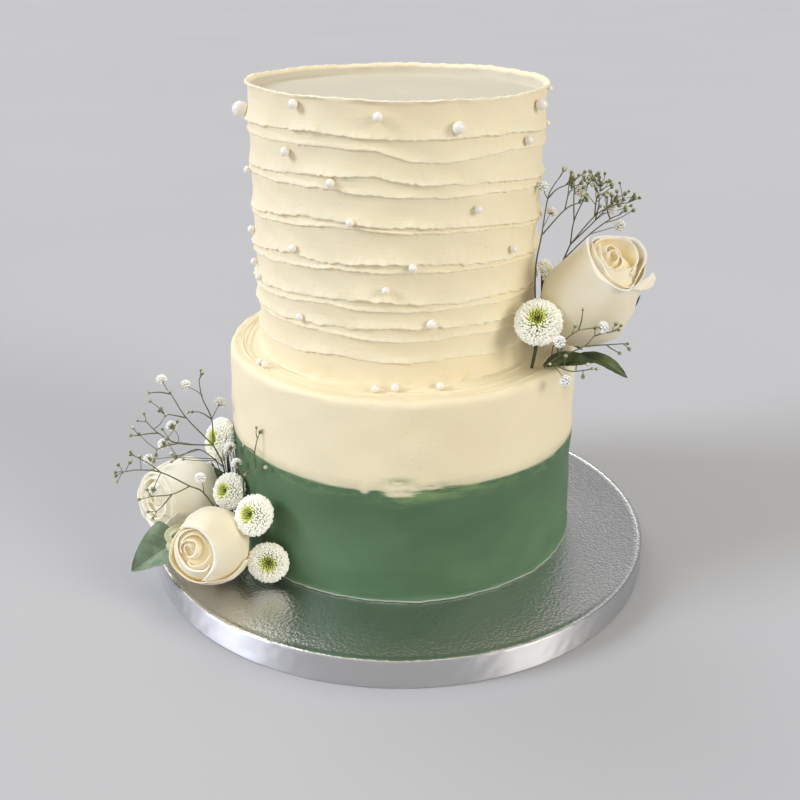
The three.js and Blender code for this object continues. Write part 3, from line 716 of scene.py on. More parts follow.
# One band of icing from its torn lip up to the next lip, hollowed by the spatula in between
def bandRings(angle, index, line, above):
    stand, last = lips[index][0], index + 1 == len(lips)
    span = above - line
    smooth = stand * np.clip(0.78 + 0.34 * ripple(angle, 0, 3, 22, 1, 7, 110 + index), 0.2, 1.4)
    out = smooth * np.clip(1 + 0.2 * ripple(angle, 0, 40, 160, 1, 14, 130 + index), 0.4, 1.5)
    shallow = np.clip(span / 14, 0.3, 1)
    # the crest rings carry the painted highlight, given as their last number
    rings = [
        wallRing(angle, line - 0.25, -0.45),
        wallRing(angle, line - 0.3, out * 0.55),
        wallRing(angle, line - 0.15, out * 0.92, 1.0),
        wallRing(angle, line + 0.2, out, 1.0),
        wallRing(angle, line + 0.9, out * 0.72, 0.45),
    ]
    for share in upper["bandShares"]:
        if last:
            dip = -0.9 * math.sin(math.pi * share * 0.8) ** 0.8
            slope = 0.5 * share ** 4
        else:
            dip = -0.75 * shallow * math.sin(math.pi * share) ** 0.8
            slope = -0.3 * share
        carry = smooth * 0.6 * (1 - share) ** 3
        rings.append(wallRing(angle, line + 0.9 + (span - 1.4) * share, dip + carry + slope))
    return rings


# The rim turns in over its top, and the recess inside it has an almost level floor
def rimRings(angle, rim):
    thin = 1 + 0.25 * ripple(angle, 0, 5, 40, 1, 8, 57)
    lift = 0.11 * ripple(angle, 0, 30, 160, 1, 16, 58)
    rings = []
    # the rim's outer rings carry the painted highlight, and the rings of the recess the painted shade
    for index, (out, up) in enumerate(upper["rimProfile"]):
        rings.append((upperWall(rim) + out * thin, rim + up + lift, 1.0 if index < 4 else 0.0, 0.0))
    depth = upper["height"] - upper["recess"]
    inner = upper["topRadius"] - upper["rimWidth"]
    rings.append((inner + 0.4, (rim + depth) / 2 + 0.8, 0.0, 1.0))
    rings.append((inner, depth + 1.6, 0.0, 1.0))
    rings.append((inner - 0.8, depth + 0.5, 0.0, 1.0))
    for place, radius in [(inner, inner - 2.0)] + [(ring, ring) for ring in upper["recessRings"]]:
        rings.append((radius, depth + 0.16 * ripple(angle, place * 4, 2, 7, 12, 10, 59), 0.0, 1.0))
    return rings


def upperMesh():
    columns = upper["columns"]
    angle = np.arange(columns) * 2 * math.pi / columns
    lines = lipLines(angle)
    rim = upper["height"] - 0.7 + 0.5 * np.sin(2 * angle + 0.5) + 0.25 * np.sin(9 * angle)
    rim = rim + 0.10 * ripple(angle, 0, 20, 60, 1, 12, 55)
    rings = [(40, 0, 0.0, 0.0), (upper["footRadius"], 0, 0.0, 0.0)]
    for share in upper["footShares"]:
        smear = 1.3 * (1 - share) ** 5 * (1 + 0.5 * ripple(angle, 0, 5, 60, 1, 10, 53))
        rings.append(wallRing(angle, lines[0] * share + 0.2, smear - 0.25 * share))
    for index, (line, above) in enumerate(zip(lines, lines[1:] + [rim])):
        rings += bandRings(angle, index, line, above)
    rings += rimRings(angle, rim)
    radius, height, crestHighlight, recessShade = ringTable(rings, columns)
    attributes = {"inRecess": recessShade, "lipEdge": crestHighlight}
    return turnedMesh("upperTier", radius, height, upper["centre"], attributes, 70)


makePiece("upperTier", upperMesh(), plainIcing, ["upper_tier"])
print("upper tier made")


# What repeats: node trees with named inputs, turned into plain meshes

def newTree(name, inputs):
    tree = bpy.data.node_groups.new(name, "GeometryNodeTree")
    tree.interface.new_socket("Geometry", in_out="INPUT", socket_type="NodeSocketGeometry")
    for key, (kind, value) in inputs.items():
        socket = tree.interface.new_socket(key, in_out="INPUT", socket_type="NodeSocket" + kind)
        if value is not None:
            socket.default_value = value
    tree.interface.new_socket("Geometry", in_out="OUTPUT", socket_type="NodeSocketGeometry")
    graph = Graph(tree)
    entry = tree.nodes.new("NodeGroupInput")
    return tree, graph, {socket.name: Wire(graph, socket) for socket in entry.outputs if socket.name}


def grow(name, mesh, tree, values):
    holder = bpy.data.objects.new(name, mesh)
    scene.collection.objects.link(holder)
    modifier = holder.modifiers.new("grow", "NODES")
    modifier.node_group = tree
    for item in tree.interface.items_tree:
        if item.in_out == "INPUT" and item.name in values:
            modifier[item.identifier] = values[item.name]
    depsgraph = bpy.context.evaluated_depsgraph_get()
    grown = bpy.data.meshes.new_from_object(holder.evaluated_get(depsgraph))
    holder.modifiers.remove(modifier)
    holder.data = grown
    grown.name = name
    return holder


def moveMesh(mesh, turn, place):
    matrix = Matrix.Translation(Vector(place) * mm) @ turn.to_matrix().to_4x4()
    mesh.transform(matrix)
    mesh.update()


def upTo(direction):
    return Vector((0, 0, 1)).rotation_difference(Vector(direction).normalized())


# A smooth run through a few points
def smoothRun(points, steps):
    points = np.array(points, dtype=float)
    if len(points) < 3:
        return points[0] + (points[-1] - points[0]) * np.linspace(0, 1, steps + 1)[:, None]
    padded = np.vstack([2 * points[0] - points[1], points, 2 * points[-1] - points[-2]])
    run = []
    for k in range(1, len(points)):
        a, b, c, d = padded[k - 1], padded[k], padded[k + 1], padded[k + 2]
        for t in np.linspace(0, 1, steps, endpoint=False):
            bent = (2 * a - 5 * b + 4 * c - d) * t * t + (3 * b - a - 3 * c + d) * t ** 3
            run.append(0.5 * (2 * b + (c - a) * t + bent))
    run.append(points[-1])
    return np.array(run)


# A thin round stem along a run of points, closed at both ends
def stemParts(run, girth, sides=8, taper=1.0):
    run = np.array(run, dtype=float)
    points, faces = [], []
    before = None
    for k, place in enumerate(run):
        ahead = run[min(k + 1, len(run) - 1)] - run[max(k - 1, 0)]
        ahead = ahead / np.linalg.norm(ahead)
        side = before if before is not None else np.cross(ahead, [0.3, 0.9, 0.1])
        side = side - ahead * np.dot(side, ahead)
        side = side / np.linalg.norm(side)
        before = side
        third = np.cross(ahead, side)
        width = girth * (1 + (taper - 1) * k / (len(run) - 1))
        for i in range(sides):
            turn = 2 * math.pi * i / sides
            points.append(place + width * (math.cos(turn) * side + math.sin(turn) * third))
    for k in range(len(run) - 1):
        for i in range(sides):
            j = (i + 1) % sides
            faces.append((k * sides + i, k * sides + j, (k + 1) * sides + j, (k + 1) * sides + i))
    faces.append(tuple(reversed(range(sides))))
    faces.append(tuple((len(run) - 1) * sides + i for i in range(sides)))
    return np.array(points), faces


# Sugar pearls

pearls = {
    "onUpper": [
        (-171, 134, 9.2), (-127, 144.5, 5), (-96, 141, 5.1), (-69, 135.5, 6.5), (-28, 141, 6.2),
        (-11, 146, 3), (-11, 128, 2.8), (-35.5, 124.5, 4.6), (-132, 120.5, 4.8), (-171, 101.5, 4.4),
        (-113, 108, 4.6), (-60, 94, 4.2), (-106, 89, 4.3), (-171, 68, 4.5), (-130.5, 71, 4.2),
        (-41.5, 69, 4.2), (-84, 66.5, 4.5), (-93.5, 54.5, 4.2), (-168, 50.5, 4), (-159, 45, 3.9),
        (-128.5, 34, 4.3), (-77, 36, 5.2),
    ],
    "onLedge": [(-2.5, -77.6, 4.5), (21.5, -75, 4.4), (-13, -79, 4.2), (-78.5, -41, 4.3), (-75, -45.5, 4.2)],
    "far": {"count": 9, "from": 12, "to": 168, "low": 34, "high": 142, "diameter": 4.4, "seed": 11},
    "sink": 0.12,
    "detail": 4,
    "sugar": ((0.86, 0.82, 0.73), (0.95, 0.91, 0.82)),
}


def pearlTree():
    inputs = {"Detail": ("Int", pearls["detail"]), "Material": ("Material", None)}
    tree, graph, entry = newTree("pearls", inputs)
    ball = graph.node("GeometryNodeMeshIcoSphere", {}, {"Radius": 0.5 * mm, "Subdivisions": entry["Detail"]})
    points = graph.node("GeometryNodeMeshToPoints", {}, {"Mesh": entry["Geometry"]})
    values = {"Points": points, "Instance": ball, "Scale": graph.named("diameter")}
    placed = graph.node("GeometryNodeInstanceOnPoints", {}, values)
    graph.node("NodeGroupOutput", {}, {0: graph.realised(placed, entry["Material"])})
    return tree


def pearlMaterial():
    material, graph = newMaterial("sugarPearl")
    sheen = graph.grain(160.0, 2.0)
    colour = graph.mixColour(sheen, *pearls["sugar"])
    bumps = [(sheen, 0.00002, 0.2)]
    finishMaterial(graph, colour, 0.16 + sheen * 0.06, bumps, Coat_Weight=0.5, Coat_Roughness=0.08)
    return material


pearlGrower = pearlTree()
pearlLook = pearlMaterial()


def pearlPiece(name, places, replaced):
    mesh = makeMesh(name, [p[:3] for p in places], [], {"diameter": [p[3] for p in places]})
    piece = grow(name, mesh, pearlGrower, {"Material": pearlLook})
    settle(piece, [replaced])


far = pearls["far"]
rng = np.random.default_rng(far["seed"])
scattered = list(pearls["onUpper"])
for i in range(far["count"]):
    degrees = far["from"] + (far["to"] - far["from"]) * (i + 0.2 + 0.6 * rng.random()) / far["count"]
    level = (i * 0.382 + 0.1 * rng.random()) % 1
    height = far["low"] + (far["high"] - far["low"]) * level
    scattered.append((degrees, height, far["diameter"] * (0.9 + 0.3 * rng.random())))
upperPearls = []
for degrees, height, diameter in scattered:
    turn = math.radians(degrees)
    reach = upperWall(height) + diameter * (0.5 - pearls["sink"])
    x = upper["centre"][0] + reach * math.cos(turn)
    y = upper["centre"][1] + reach * math.sin(turn)
    upperPearls.append((x, y, upper["centre"][2] + height, diameter))
ledgeTop = lower["centre"][2] + lower["height"]
ledgePearls = [(x, y, ledgeTop + 0.2 + d * (0.5 - pearls["sink"]), d) for x, y, d in pearls["onLedge"]]
pearlPiece("upperPearls", upperPearls, "upper_tier")
pearlPiece("ledgePearls", ledgePearls, "lower_tier")
print("pearls made")


# Roses

# Each petal is the line of its rim: compass angle round the bloom, reach in bloom radii and level in
# bloom lengths. The outer petals rise from the calyx along the bloom; the inner ones lean inwards
# from the reach and level of their foot. Inner rims marked "heart" turn round the heart's own centre.
# "full" is how far the core inside rises, and "pale" how much paler the petals are painted, as painted light
# on a more brightly lit bloom.
roses = {
    "roseRight": {
        "node": "rose_right", "centre": (104.2, -31, 171.5), "opens": (0.38, -0.47, 0.8),
        "radius": 26.5, "length": 58, "full": 1.0, "heart": (-0.16, 0.03), "seed": 5,
        "stem": (92, -15, 137.4), "sepalTurn": -148,
        "longSepal": {"angle": 3, "up": 0.77, "tip": 0.9},
        "hollow": {"at": 162, "wide": 34, "deep": 0.13, "low": 0.1, "high": 0.52},
        "flap": {
            "low": [(-52, 0.60, 0.487), (-26, 0.735, 0.463), (-8, 0.89, 0.455), (9, 0.99, 0.463)],
            "high": [(-44, 0.58, 0.492), (-16, 0.61, 0.495), (5, 0.78, 0.496), (15, 0.91, 0.49),
                     (10, 0.99, 0.468)],
        },
        "petals": [
            {"rim": [(-72, 0.56, 0.49), (-40, 0.57, 0.49), (-18, 0.58, 0.495), (2, 0.62, 0.51),
                     (24, 0.68, 0.53), (40, 0.70, 0.54)],
             "roll": (45, 1.6), "lift": 0.012},
            {"rim": [(-30, 0.48, 0.525), (0, 0.50, 0.535), (16, 0.58, 0.545), (25, 0.65, 0.55),
                     (37, 0.71, 0.563), (51, 0.75, 0.572), (65, 0.77, 0.575), (78, 0.69, 0.573),
                     (104, 0.60, 0.565), (133, 0.62, 0.553), (148, 0.67, 0.545), (172, 0.66, 0.53)],
             "roll": (60, 1.8), "lift": -0.012},
            {"rim": [(154, 0.78, 0.535), (164, 0.75, 0.53), (176, 0.67, 0.52), (195, 0.61, 0.503),
                     (220, 0.59, 0.494), (243, 0.62, 0.493), (263, 0.685, 0.497), (281, 0.66, 0.498),
                     (306, 0.57, 0.49)],
             "roll": (105, 2.2), "wide": 1.3, "lift": 0.035},
            {"rim": [(158, 0.69, 0.54), (172, 0.61, 0.547), (188, 0.53, 0.545), (202, 0.475, 0.54),
                     (222, 0.475, 0.533), (240, 0.515, 0.525), (258, 0.56, 0.517), (279, 0.58, 0.508),
                     (301, 0.56, 0.50), (322, 0.50, 0.495)],
             "roll": (60, 1.5), "foot": (0.70, 0.26)},
            {"rim": [(-44, 0.33, 0.545), (-3, 0.34, 0.555), (28, 0.46, 0.562), (57, 0.62, 0.568),
                     (75, 0.66, 0.57), (105, 0.56, 0.565), (138, 0.58, 0.56), (160, 0.60, 0.545)],
             "roll": (50, 1.4), "foot": (0.60, 0.34)},
            {"rim": [(148, 0.54, 0.555), (178, 0.45, 0.56), (211, 0.43, 0.562), (232, 0.42, 0.562),
                     (256, 0.34, 0.562), (292, 0.24, 0.56), (330, 0.25, 0.558), (362, 0.30, 0.55)],
             "roll": (50, 1.2), "foot": (0.55, 0.41)},
            {"rim": [(-80, 0.33, 0.57), (-37, 0.225, 0.58), (11, 0.165, 0.585), (72, 0.20, 0.585),
                     (101, 0.25, 0.583), (142, 0.21, 0.58), (181, 0.15, 0.575)],
             "roll": (45, 0.9), "foot": (0.34, 0.47), "heart": True},
            {"rim": [(-92, 0.20, 0.575), (-49, 0.11, 0.585), (20, 0.075, 0.59), (94, 0.13, 0.59),
                     (165, 0.11, 0.588), (228, 0.135, 0.58)],
             "roll": (50, 0.6), "foot": (0.2, 0.45), "heart": True},
        ],
    },
    "roseLeftFront": {
        "node": "rose_left_front", "centre": (-106.5, -78, 40), "opens": (-0.28, -0.93, 0.22),
        "radius": 22.5, "length": 44, "full": 0.66, "heart": (-0.02, 0.20), "seed": 8,
        "stem": (-94, -42, 31), "sepalTurn": 10,
        "hollow": {"at": 135, "wide": 36, "deep": 0.17, "low": -0.7, "high": 0.42},
        "petals": [
            {"rim": [(84, 0.75, 0.43), (104, 0.72, 0.42), (125, 0.68, 0.41), (151, 0.68, 0.40),
                     (172, 0.74, 0.385), (190, 0.77, 0.375), (215, 0.72, 0.385), (240, 0.70, 0.39),
                     (268, 0.72, 0.38), (290, 0.74, 0.35)],
             "roll": (35, 1.0), "lift": 0.0},
            {"rim": [(-112, 0.74, 0.36), (-86, 0.76, 0.35), (-70, 0.82, 0.32), (-56, 0.93, 0.26),
                     (-42, 0.99, 0.16), (-28, 1.0, 0.05)],
             "roll": (15, 1.0), "flare": 0.3, "lift": 0.03},
            {"rim": [(-84, 0.64, 0.455), (-56, 0.57, 0.495), (-31, 0.575, 0.51), (-12, 0.60, 0.518),
                     (5, 0.63, 0.52), (19, 0.66, 0.522), (35, 0.70, 0.525), (50, 0.75, 0.525),
                     (62, 0.76, 0.515), (80, 0.74, 0.49), (104, 0.74, 0.44)],
             "roll": (85, 2.0), "wide": 1.16, "lift": 0.022, "curl": (0.015, 0.025)},
            {"rim": [(66, 0.74, 0.50), (92, 0.66, 0.50), (112, 0.58, 0.505), (132, 0.47, 0.505),
                     (156, 0.37, 0.505), (190, 0.29, 0.505), (238, 0.27, 0.505), (279, 0.33, 0.505),
                     (308, 0.43, 0.505), (330, 0.48, 0.495)],
             "roll": (55, 1.5), "foot": (0.71, 0.27)},
            {"rim": [(28, 0.56, 0.51), (50, 0.62, 0.515), (75, 0.58, 0.515), (98, 0.50, 0.512),
                     (122, 0.40, 0.51), (150, 0.28, 0.505)],
             "roll": (60, 0.9), "foot": (0.66, 0.36)},
            {"rim": [(-150, 0.20, 0.50), (-105, 0.21, 0.505), (-63, 0.24, 0.508), (-20, 0.39, 0.51),
                     (3, 0.52, 0.512), (22, 0.58, 0.512)],
             "roll": (60, 0.9), "foot": (0.58, 0.36)},
            {"rim": [(-120, 0.20, 0.505), (-80, 0.17, 0.512), (-40, 0.17, 0.52), (0, 0.20, 0.525),
                     (34, 0.28, 0.525), (62, 0.25, 0.522), (110, 0.22, 0.518), (158, 0.22, 0.51)],
             "roll": (70, 0.9), "foot": (0.32, 0.42), "heart": True},
            {"rim": [(-70, 0.13, 0.51), (-10, 0.09, 0.518), (60, 0.11, 0.52), (125, 0.13, 0.515),
                     (190, 0.11, 0.51), (235, 0.14, 0.505)],
             "roll": (50, 0.6), "foot": (0.2, 0.43), "heart": True},
        ],
    },
    "roseLeftBack": {
        "node": "rose_left_back", "centre": (-130, -23, 41.5), "opens": (-0.63, -0.72, 0.26),
        "radius": 23.5, "length": 46, "full": 0.66, "heart": (-0.05, 0.06), "seed": 12,
        "stem": (-109, 1, 33), "sepalTurn": 40,
        # painted light: this more brightly lit bloom is painted paler
        "pale": 1.0,
        "flap": {
            "low": [(-70, 0.68, 0.50), (-88, 0.72, 0.53), (-100, 0.84, 0.49), (-104, 0.97, 0.42),
                    (-103, 0.99, 0.32), (-96, 0.98, 0.2)],
            "high": [(-60, 0.68, 0.48), (-74, 0.78, 0.40), (-88, 0.86, 0.30), (-94, 0.92, 0.22),
                     (-95, 0.95, 0.15), (-93, 0.95, 0.1)],
        },
        "petals": [
            {"rim": [(-64, 0.62, 0.46), (-40, 0.60, 0.475), (-15, 0.60, 0.485), (10, 0.61, 0.49),
                     (38, 0.62, 0.49), (66, 0.64, 0.48), (92, 0.70, 0.46)],
             "roll": (85, 2.0), "wide": 1.25, "lift": 0.035},
            {"rim": [(72, 0.74, 0.45), (98, 0.72, 0.465), (125, 0.70, 0.47), (152, 0.72, 0.465),
                     (178, 0.74, 0.46), (204, 0.74, 0.45)],
             "roll": (60, 1.8), "wide": 1.2, "lift": 0.012},
            {"rim": [(186, 0.76, 0.44), (210, 0.70, 0.455), (235, 0.66, 0.465), (262, 0.64, 0.465),
                     (288, 0.66, 0.455), (312, 0.72, 0.43)],
             "roll": (70, 1.8), "wide": 1.2, "lift": -0.012},
            {"rim": [(20, 0.55, 0.50), (52, 0.53, 0.505), (88, 0.55, 0.505), (124, 0.58, 0.50),
                     (158, 0.60, 0.49)],
             "roll": (70, 1.1), "foot": (0.72, 0.24)},
            {"rim": [(150, 0.58, 0.495), (182, 0.54, 0.50), (215, 0.50, 0.505), (248, 0.46, 0.505),
                     (282, 0.47, 0.50)],
             "roll": (70, 1.1), "foot": (0.72, 0.24)},
            {"rim": [(-88, 0.46, 0.50), (-50, 0.44, 0.505), (-12, 0.42, 0.51), (30, 0.42, 0.51),
                     (64, 0.46, 0.505)],
             "roll": (70, 1.0), "foot": (0.64, 0.30)},
            {"rim": [(40, 0.38, 0.515), (84, 0.36, 0.52), (130, 0.38, 0.52), (172, 0.38, 0.515)],
             "roll": (60, 0.9), "foot": (0.52, 0.38)},
            {"rim": [(160, 0.36, 0.515), (205, 0.32, 0.52), (250, 0.30, 0.52), (300, 0.30, 0.515),
                     (340, 0.32, 0.51)],
             "roll": (60, 0.9), "foot": (0.52, 0.38)},
            {"rim": [(-40, 0.22, 0.52), (15, 0.20, 0.525), (75, 0.21, 0.525), (135, 0.22, 0.525),
                     (190, 0.20, 0.52)],
             "roll": (60, 0.8), "foot": (0.34, 0.42), "heart": True},
            {"rim": [(150, 0.15, 0.525), (215, 0.12, 0.528), (280, 0.12, 0.528), (345, 0.13, 0.525),
                     (400, 0.14, 0.52)],
             "roll": (50, 0.6), "foot": (0.22, 0.43), "heart": True},
        ],
    },
}
bloomLevels = [-0.5, -0.46, -0.42, -0.28, -0.06, 0.15, 0.34, 0.5, 0.58]
bloomReach = [0.14, 0.38, 0.53, 0.78, 0.955, 0.92, 0.78, 0.65, 0.60]
petalGrid = {
    "across": 44,
    "along": 18,
    "rolled": 7,
    "rollShare": 0.04,
    "thickness": 0.6,
    "foot": -0.5,
    "flare": 0.45,
    "curl": (0.012, 0.012),
    "wide": 1.12,
}
bloomCore = [
    (0.2, -0.48), (0.46, -0.42), (0.70, -0.28), (0.88, -0.06), (0.86, 0.15), (0.74, 0.28), (0.62, 0.36),
    (0.53, 0.42), (0.42, 0.475), (0.30, 0.505), (0.17, 0.515), (0.03, 0.515),
]
# Above this level the core is only as tall as the rose is full
coreFoot = 0.36


def bloomAt(level):
    return np.interp(level, bloomLevels, bloomReach)


# Points of a smooth run spaced evenly in number
def resample(points, count):
    run = smoothRun(points, 12)
    at = np.linspace(0, 1, len(run))
    return np.array([np.interp(np.linspace(0, 1, count), at, run[:, k]) for k in range(run.shape[1])])


# One petal as a grid of points in the bloom's own frame, with how far up the petal each point lies and
# its level in the bloom
def petalPoints(rose, petal, rng):
    count = petalGrid["across"] + 1
    angle, reach, level = [row[None, :] for row in resample(petal["rim"], count)]
    s = np.linspace(-1, 1, count)[None, :]
    level = level + 0.004 * np.cos(5 * s + rng.uniform(0, 6)) + 0.003 * np.cos(11 * s + rng.uniform(0, 6))
    reach = reach + 0.008 * np.cos(4 * s + rng.uniform(0, 6)) * (1 - s * s)
    straight = 1 - petalGrid["rollShare"]
    body = np.append(np.linspace(0, 1, petalGrid["along"] + 1), np.ones(petalGrid["rolled"]))[:, None]
    along = np.append(np.zeros(petalGrid["along"]), np.linspace(0, 1, petalGrid["rolled"] + 1))[:, None]
    if "foot" in petal:
        footReach, footLevel = petal["foot"]
        footReach = footReach + np.minimum(reach + 0.10 - footReach, 0) * s ** 4
        out = footReach - (footReach - reach) * body ** 1.8
        up = footLevel + (level - footLevel) * body
        wide = 1.0
    else:
        up = petalGrid["foot"] + (level - petalGrid["foot"]) * body
        out = bloomAt(up) + (reach - bloomAt(level)) * ease(body, petal.get("flare", petalGrid["flare"]), 1)
        out = out + petal["lift"] * (1 - ease(body, 0.9, 1))
        first, last = petal.get("curl", petalGrid["curl"])
        sides = first * ease(-s, 0.78, 1) + last * ease(s, 0.78, 1)
        out = out + sides * ease(body, 0.15, 0.5) * (1 - ease(body, 0.85, 1))
        wide = petal.get("wide", petalGrid["wide"])
    middle = angle[0, count // 2]
    angle = middle + (angle - middle) * (1 + (wide - 1) * (1 - ease(body, 0.35, 0.97)))
    angle = np.radians(angle)
    # the rim rolls outward on a small arc, less towards the petal's sides
    turn, size = petal["roll"]
    uneven = 0.18 * np.cos(4 * s + rng.uniform(0, 6)) + 0.14 * np.cos(9 * s + rng.uniform(0, 6))
    bend = along * math.radians(turn) * (1 - 0.5 * s ** 4) * (1 + uneven)
    lean = 0.008 * s * body
    radius = rose["radius"] * (out + lean) + size * (1 - np.cos(bend))
    rise = rose["length"] * up + size * np.sin(bend)
    shift = np.array(rose["heart"]) * rose["radius"] if petal.get("heart") else np.zeros(2)
    x, y = radius * np.cos(angle) + shift[0], radius * np.sin(angle) + shift[1]
    points = np.stack([x, y, rise + 0 * angle], axis=-1)
    return points, body * straight + along * (1 - straight) + 0 * s, up + 0 * s


# Two faces and a rim round each petal or leaf, so that it is a closed sheet
def thickSheet(grid, thickness):
    normal = np.cross(np.gradient(grid, axis=1), np.gradient(grid, axis=0))
    normal /= np.linalg.norm(normal, axis=-1, keepdims=True) + 1e-9
    rows, columns = grid.shape[:2]
    row, column = np.arange(rows)[:, None], np.arange(columns)[None, :]
    inset = np.minimum(np.minimum(row, rows - 1 - row), np.minimum(column, columns - 1 - column))
    depth = thickness / 2 * np.clip(0.5 + 0.25 * inset, 0, 1)[..., None]
    points = np.concatenate([(grid + normal * depth).reshape(-1, 3), (grid - normal * depth).reshape(-1, 3)])
    sheet = rows * columns
    faces = []
    for r in range(rows - 1):
        for c in range(columns - 1):
            a = r * columns + c
            faces.append((a, a + 1, a + columns + 1, a + columns))
            faces.append((sheet + a, sheet + a + columns, sheet + a + columns + 1, sheet + a + 1))
    border = list(range(columns - 1))
    border += [r * columns + columns - 1 for r in range(rows - 1)]
    border += [(rows - 1) * columns + c for c in range(columns - 1, 0, -1)]
    border += [r * columns for r in range(rows - 1, 0, -1)]
    for k, a in enumerate(border):
        b = border[(k + 1) % len(border)]
        faces.append((a, sheet + a, sheet + b, b))
    return points, faces


# Presses a soft hollow into one side of a bloom, given by compass angle and by level
def hollowed(points, rose):
    if "hollow" not in rose:
        return points
    hollow = rose["hollow"]
    angle = np.degrees(np.arctan2(points[:, 1], points[:, 0]))
    away = (angle - hollow["at"] + 180) % 360 - 180
    level = points[:, 2] / rose["length"]
    above = ease(level, hollow["low"] - 0.2, hollow["low"] + 0.1)
    below = 1 - ease(level, hollow["high"] - 0.1, hollow["high"])
    share = 1 - hollow["deep"] * (above * below) * np.exp(-((away / hollow["wide"]) ** 2))
    return points * np.stack([share, share, np.ones(len(points))], axis=-1)


# Several closed shapes as one
def gather(parts):
    points, faces, offset = [], [], 0
    for partPoints, partFaces in parts:
        points.append(partPoints)
        faces += [tuple(corner + offset for corner in face) for face in partFaces]
        offset += len(partPoints)
    return np.vstack(points), faces


# A turned shape from pairs of radius and height, closed by a point at each end
def turnedPart(profile, columns):
    angle = np.arange(columns) * 2 * math.pi / columns
    rings = [[r * math.cos(a), r * math.sin(a), h] for r, h in profile for a in angle]
    ends = [[0, 0, profile[0][1]], [0, 0, profile[-1][1]]]
    return np.array(rings + ends), turnedFaces(len(profile), columns)


def placePoints(points, turn, place):
    matrix = np.array(turn.to_matrix())
    return points @ matrix.T + np.array(place)


petalColours = {
    "body": ((0.94, 0.80, 0.55), (0.97, 0.86, 0.65)),
    # the next two colours are partly the rose's own yellower heart and partly painted light: the folds are
    # painted brighter and warmer, as though lit through the petals
    "fold": (0.98, 0.87, 0.61),
    "deepFold": (0.98, 0.82, 0.48),
    # pale: painted light, the paler colour of a more brightly lit bloom
    "pale": (0.98, 0.93, 0.76),
    # edge: painted highlight along the petal rims
    "edge": (0.97, 0.94, 0.84),
    "foot": (0.78, 0.76, 0.46),
    "lit": ((1.0, 0.88, 0.62), (1.0, 0.97, 0.85)),
    "glow": 0.06,
}


def petalMaterial():
    material, graph = newMaterial("rosePetal")
    fold = graph.attribute("fold")
    rimward = graph.attribute("rimward")
    pale = graph.attribute("pale")
    clouds = graph.grain(45.0, 3.0)
    veins = graph.grain((380.0, 380.0, 60.0), 3.0, 0.6)
    colour = graph.mixColour(clouds, *petalColours["body"])
    # partly the rose's own yellower heart and partly painted light: the folds are painted brighter and
    # warmer, as though lit through the petals
    colour = graph.mixColour(fold, colour, petalColours["fold"])
    colour = graph.mixColour(graph.smoothStep(fold, 0.75, 1.0) * 0.7, colour, petalColours["deepFold"])
    # painted light: a more brightly lit bloom is painted paler
    colour = graph.mixColour(pale * 0.75, colour, petalColours["pale"])
    # painted highlight along the rolled rims, away from the folds
    edge = graph.smoothStep(rimward, 0.86, 0.99) * (1.0 - fold)
    colour = graph.mixColour(edge * 0.5, colour, petalColours["edge"])
    foot = (1.0 - graph.smoothStep(rimward, 0.0, 0.32)) * (1.0 - graph.smoothStep(fold, 0.0, 0.1))
    colour = graph.mixColour(foot * 0.5, colour, petalColours["foot"])
    bumps = [(veins, 0.0002, 0.3), (clouds, 0.0012, 0.2)]
    glow = {"Subsurface_Weight": 0.6, "Subsurface_Radius": (1.0, 0.93, 0.80), "Subsurface_Scale": 0.0025}
    # light that reaches the folds through the thin petals
    lit = graph.mixColour(pale, *petalColours["lit"])
    glow["Emission_Color"] = graph.mixColour(fold + pale * 0.5, (0.0, 0.0, 0.0), lit)
    glow["Emission_Strength"] = petalColours["glow"]
    finishMaterial(graph, colour, 0.5 + veins * 0.12, bumps, **glow)
    return material


def greenMaterial(name, dark, light, gloss):
    material, graph = newMaterial(name)
    clouds = graph.grain(90.0, 3.0)
    fibre = graph.grain(900.0, 2.0)
    colour = graph.mixColour(clouds, dark, light)
    finishMaterial(graph, colour, gloss + clouds * 0.12, [(fibre, 0.0001, 0.3)])
    return material


petalLook = petalMaterial()
stemLook = greenMaterial("flowerStem", (0.035, 0.05, 0.017), (0.085, 0.115, 0.035), 0.45)


sepals = {"count": 5, "up": 0.24, "tip": 2.2, "thickness": 0.6, "stem": 2.4}


# The calyx hugs the foot of the bloom, and the stem runs back from it. One sepal may be longer.
def calyxParts(rose):
    turn = upTo(rose["opens"])
    parts = []
    for index in range(sepals["count"]):
        sepal = {"angle": rose["sepalTurn"] + 360 / sepals["count"] * index, **sepals}
        if index == 0:
            sepal.update(rose.get("longSepal", {}))
        middle = math.radians(sepal["angle"])
        s = np.linspace(-1, 1, 7)[None, :]
        v = np.linspace(0, 1, 15)[:, None]
        level = -0.52 + sepal["up"] * v - 0.03 * s * s
        out = bloomAt(level) * rose["radius"] + 0.9 + sepal["tip"] * v ** 5
        angle = middle + 0.34 * s * (1 - v) ** 0.8 / (0.4 + 1.4 * v) + 0.02 * s
        rise = rose["length"] * level + 0 * angle
        grid = np.stack([out * np.cos(angle), out * np.sin(angle), rise], axis=-1)
        points, faces = thickSheet(grid, sepals["thickness"])
        parts.append((placePoints(hollowed(points, rose), turn, rose["centre"]), faces))
    foot = placePoints(np.array([[0, 0, -0.44 * rose["length"]]]), turn, rose["centre"])[0]
    end = np.array(rose["stem"], dtype=float)
    run = smoothRun([foot, (foot + end) / 2 + [0, 0, -0.6], end], 6)
    parts.append(stemParts(run, sepals["stem"], 10, 0.9))
    return parts


flapGrid = {"along": 25, "across": 9, "sag": 0.9}


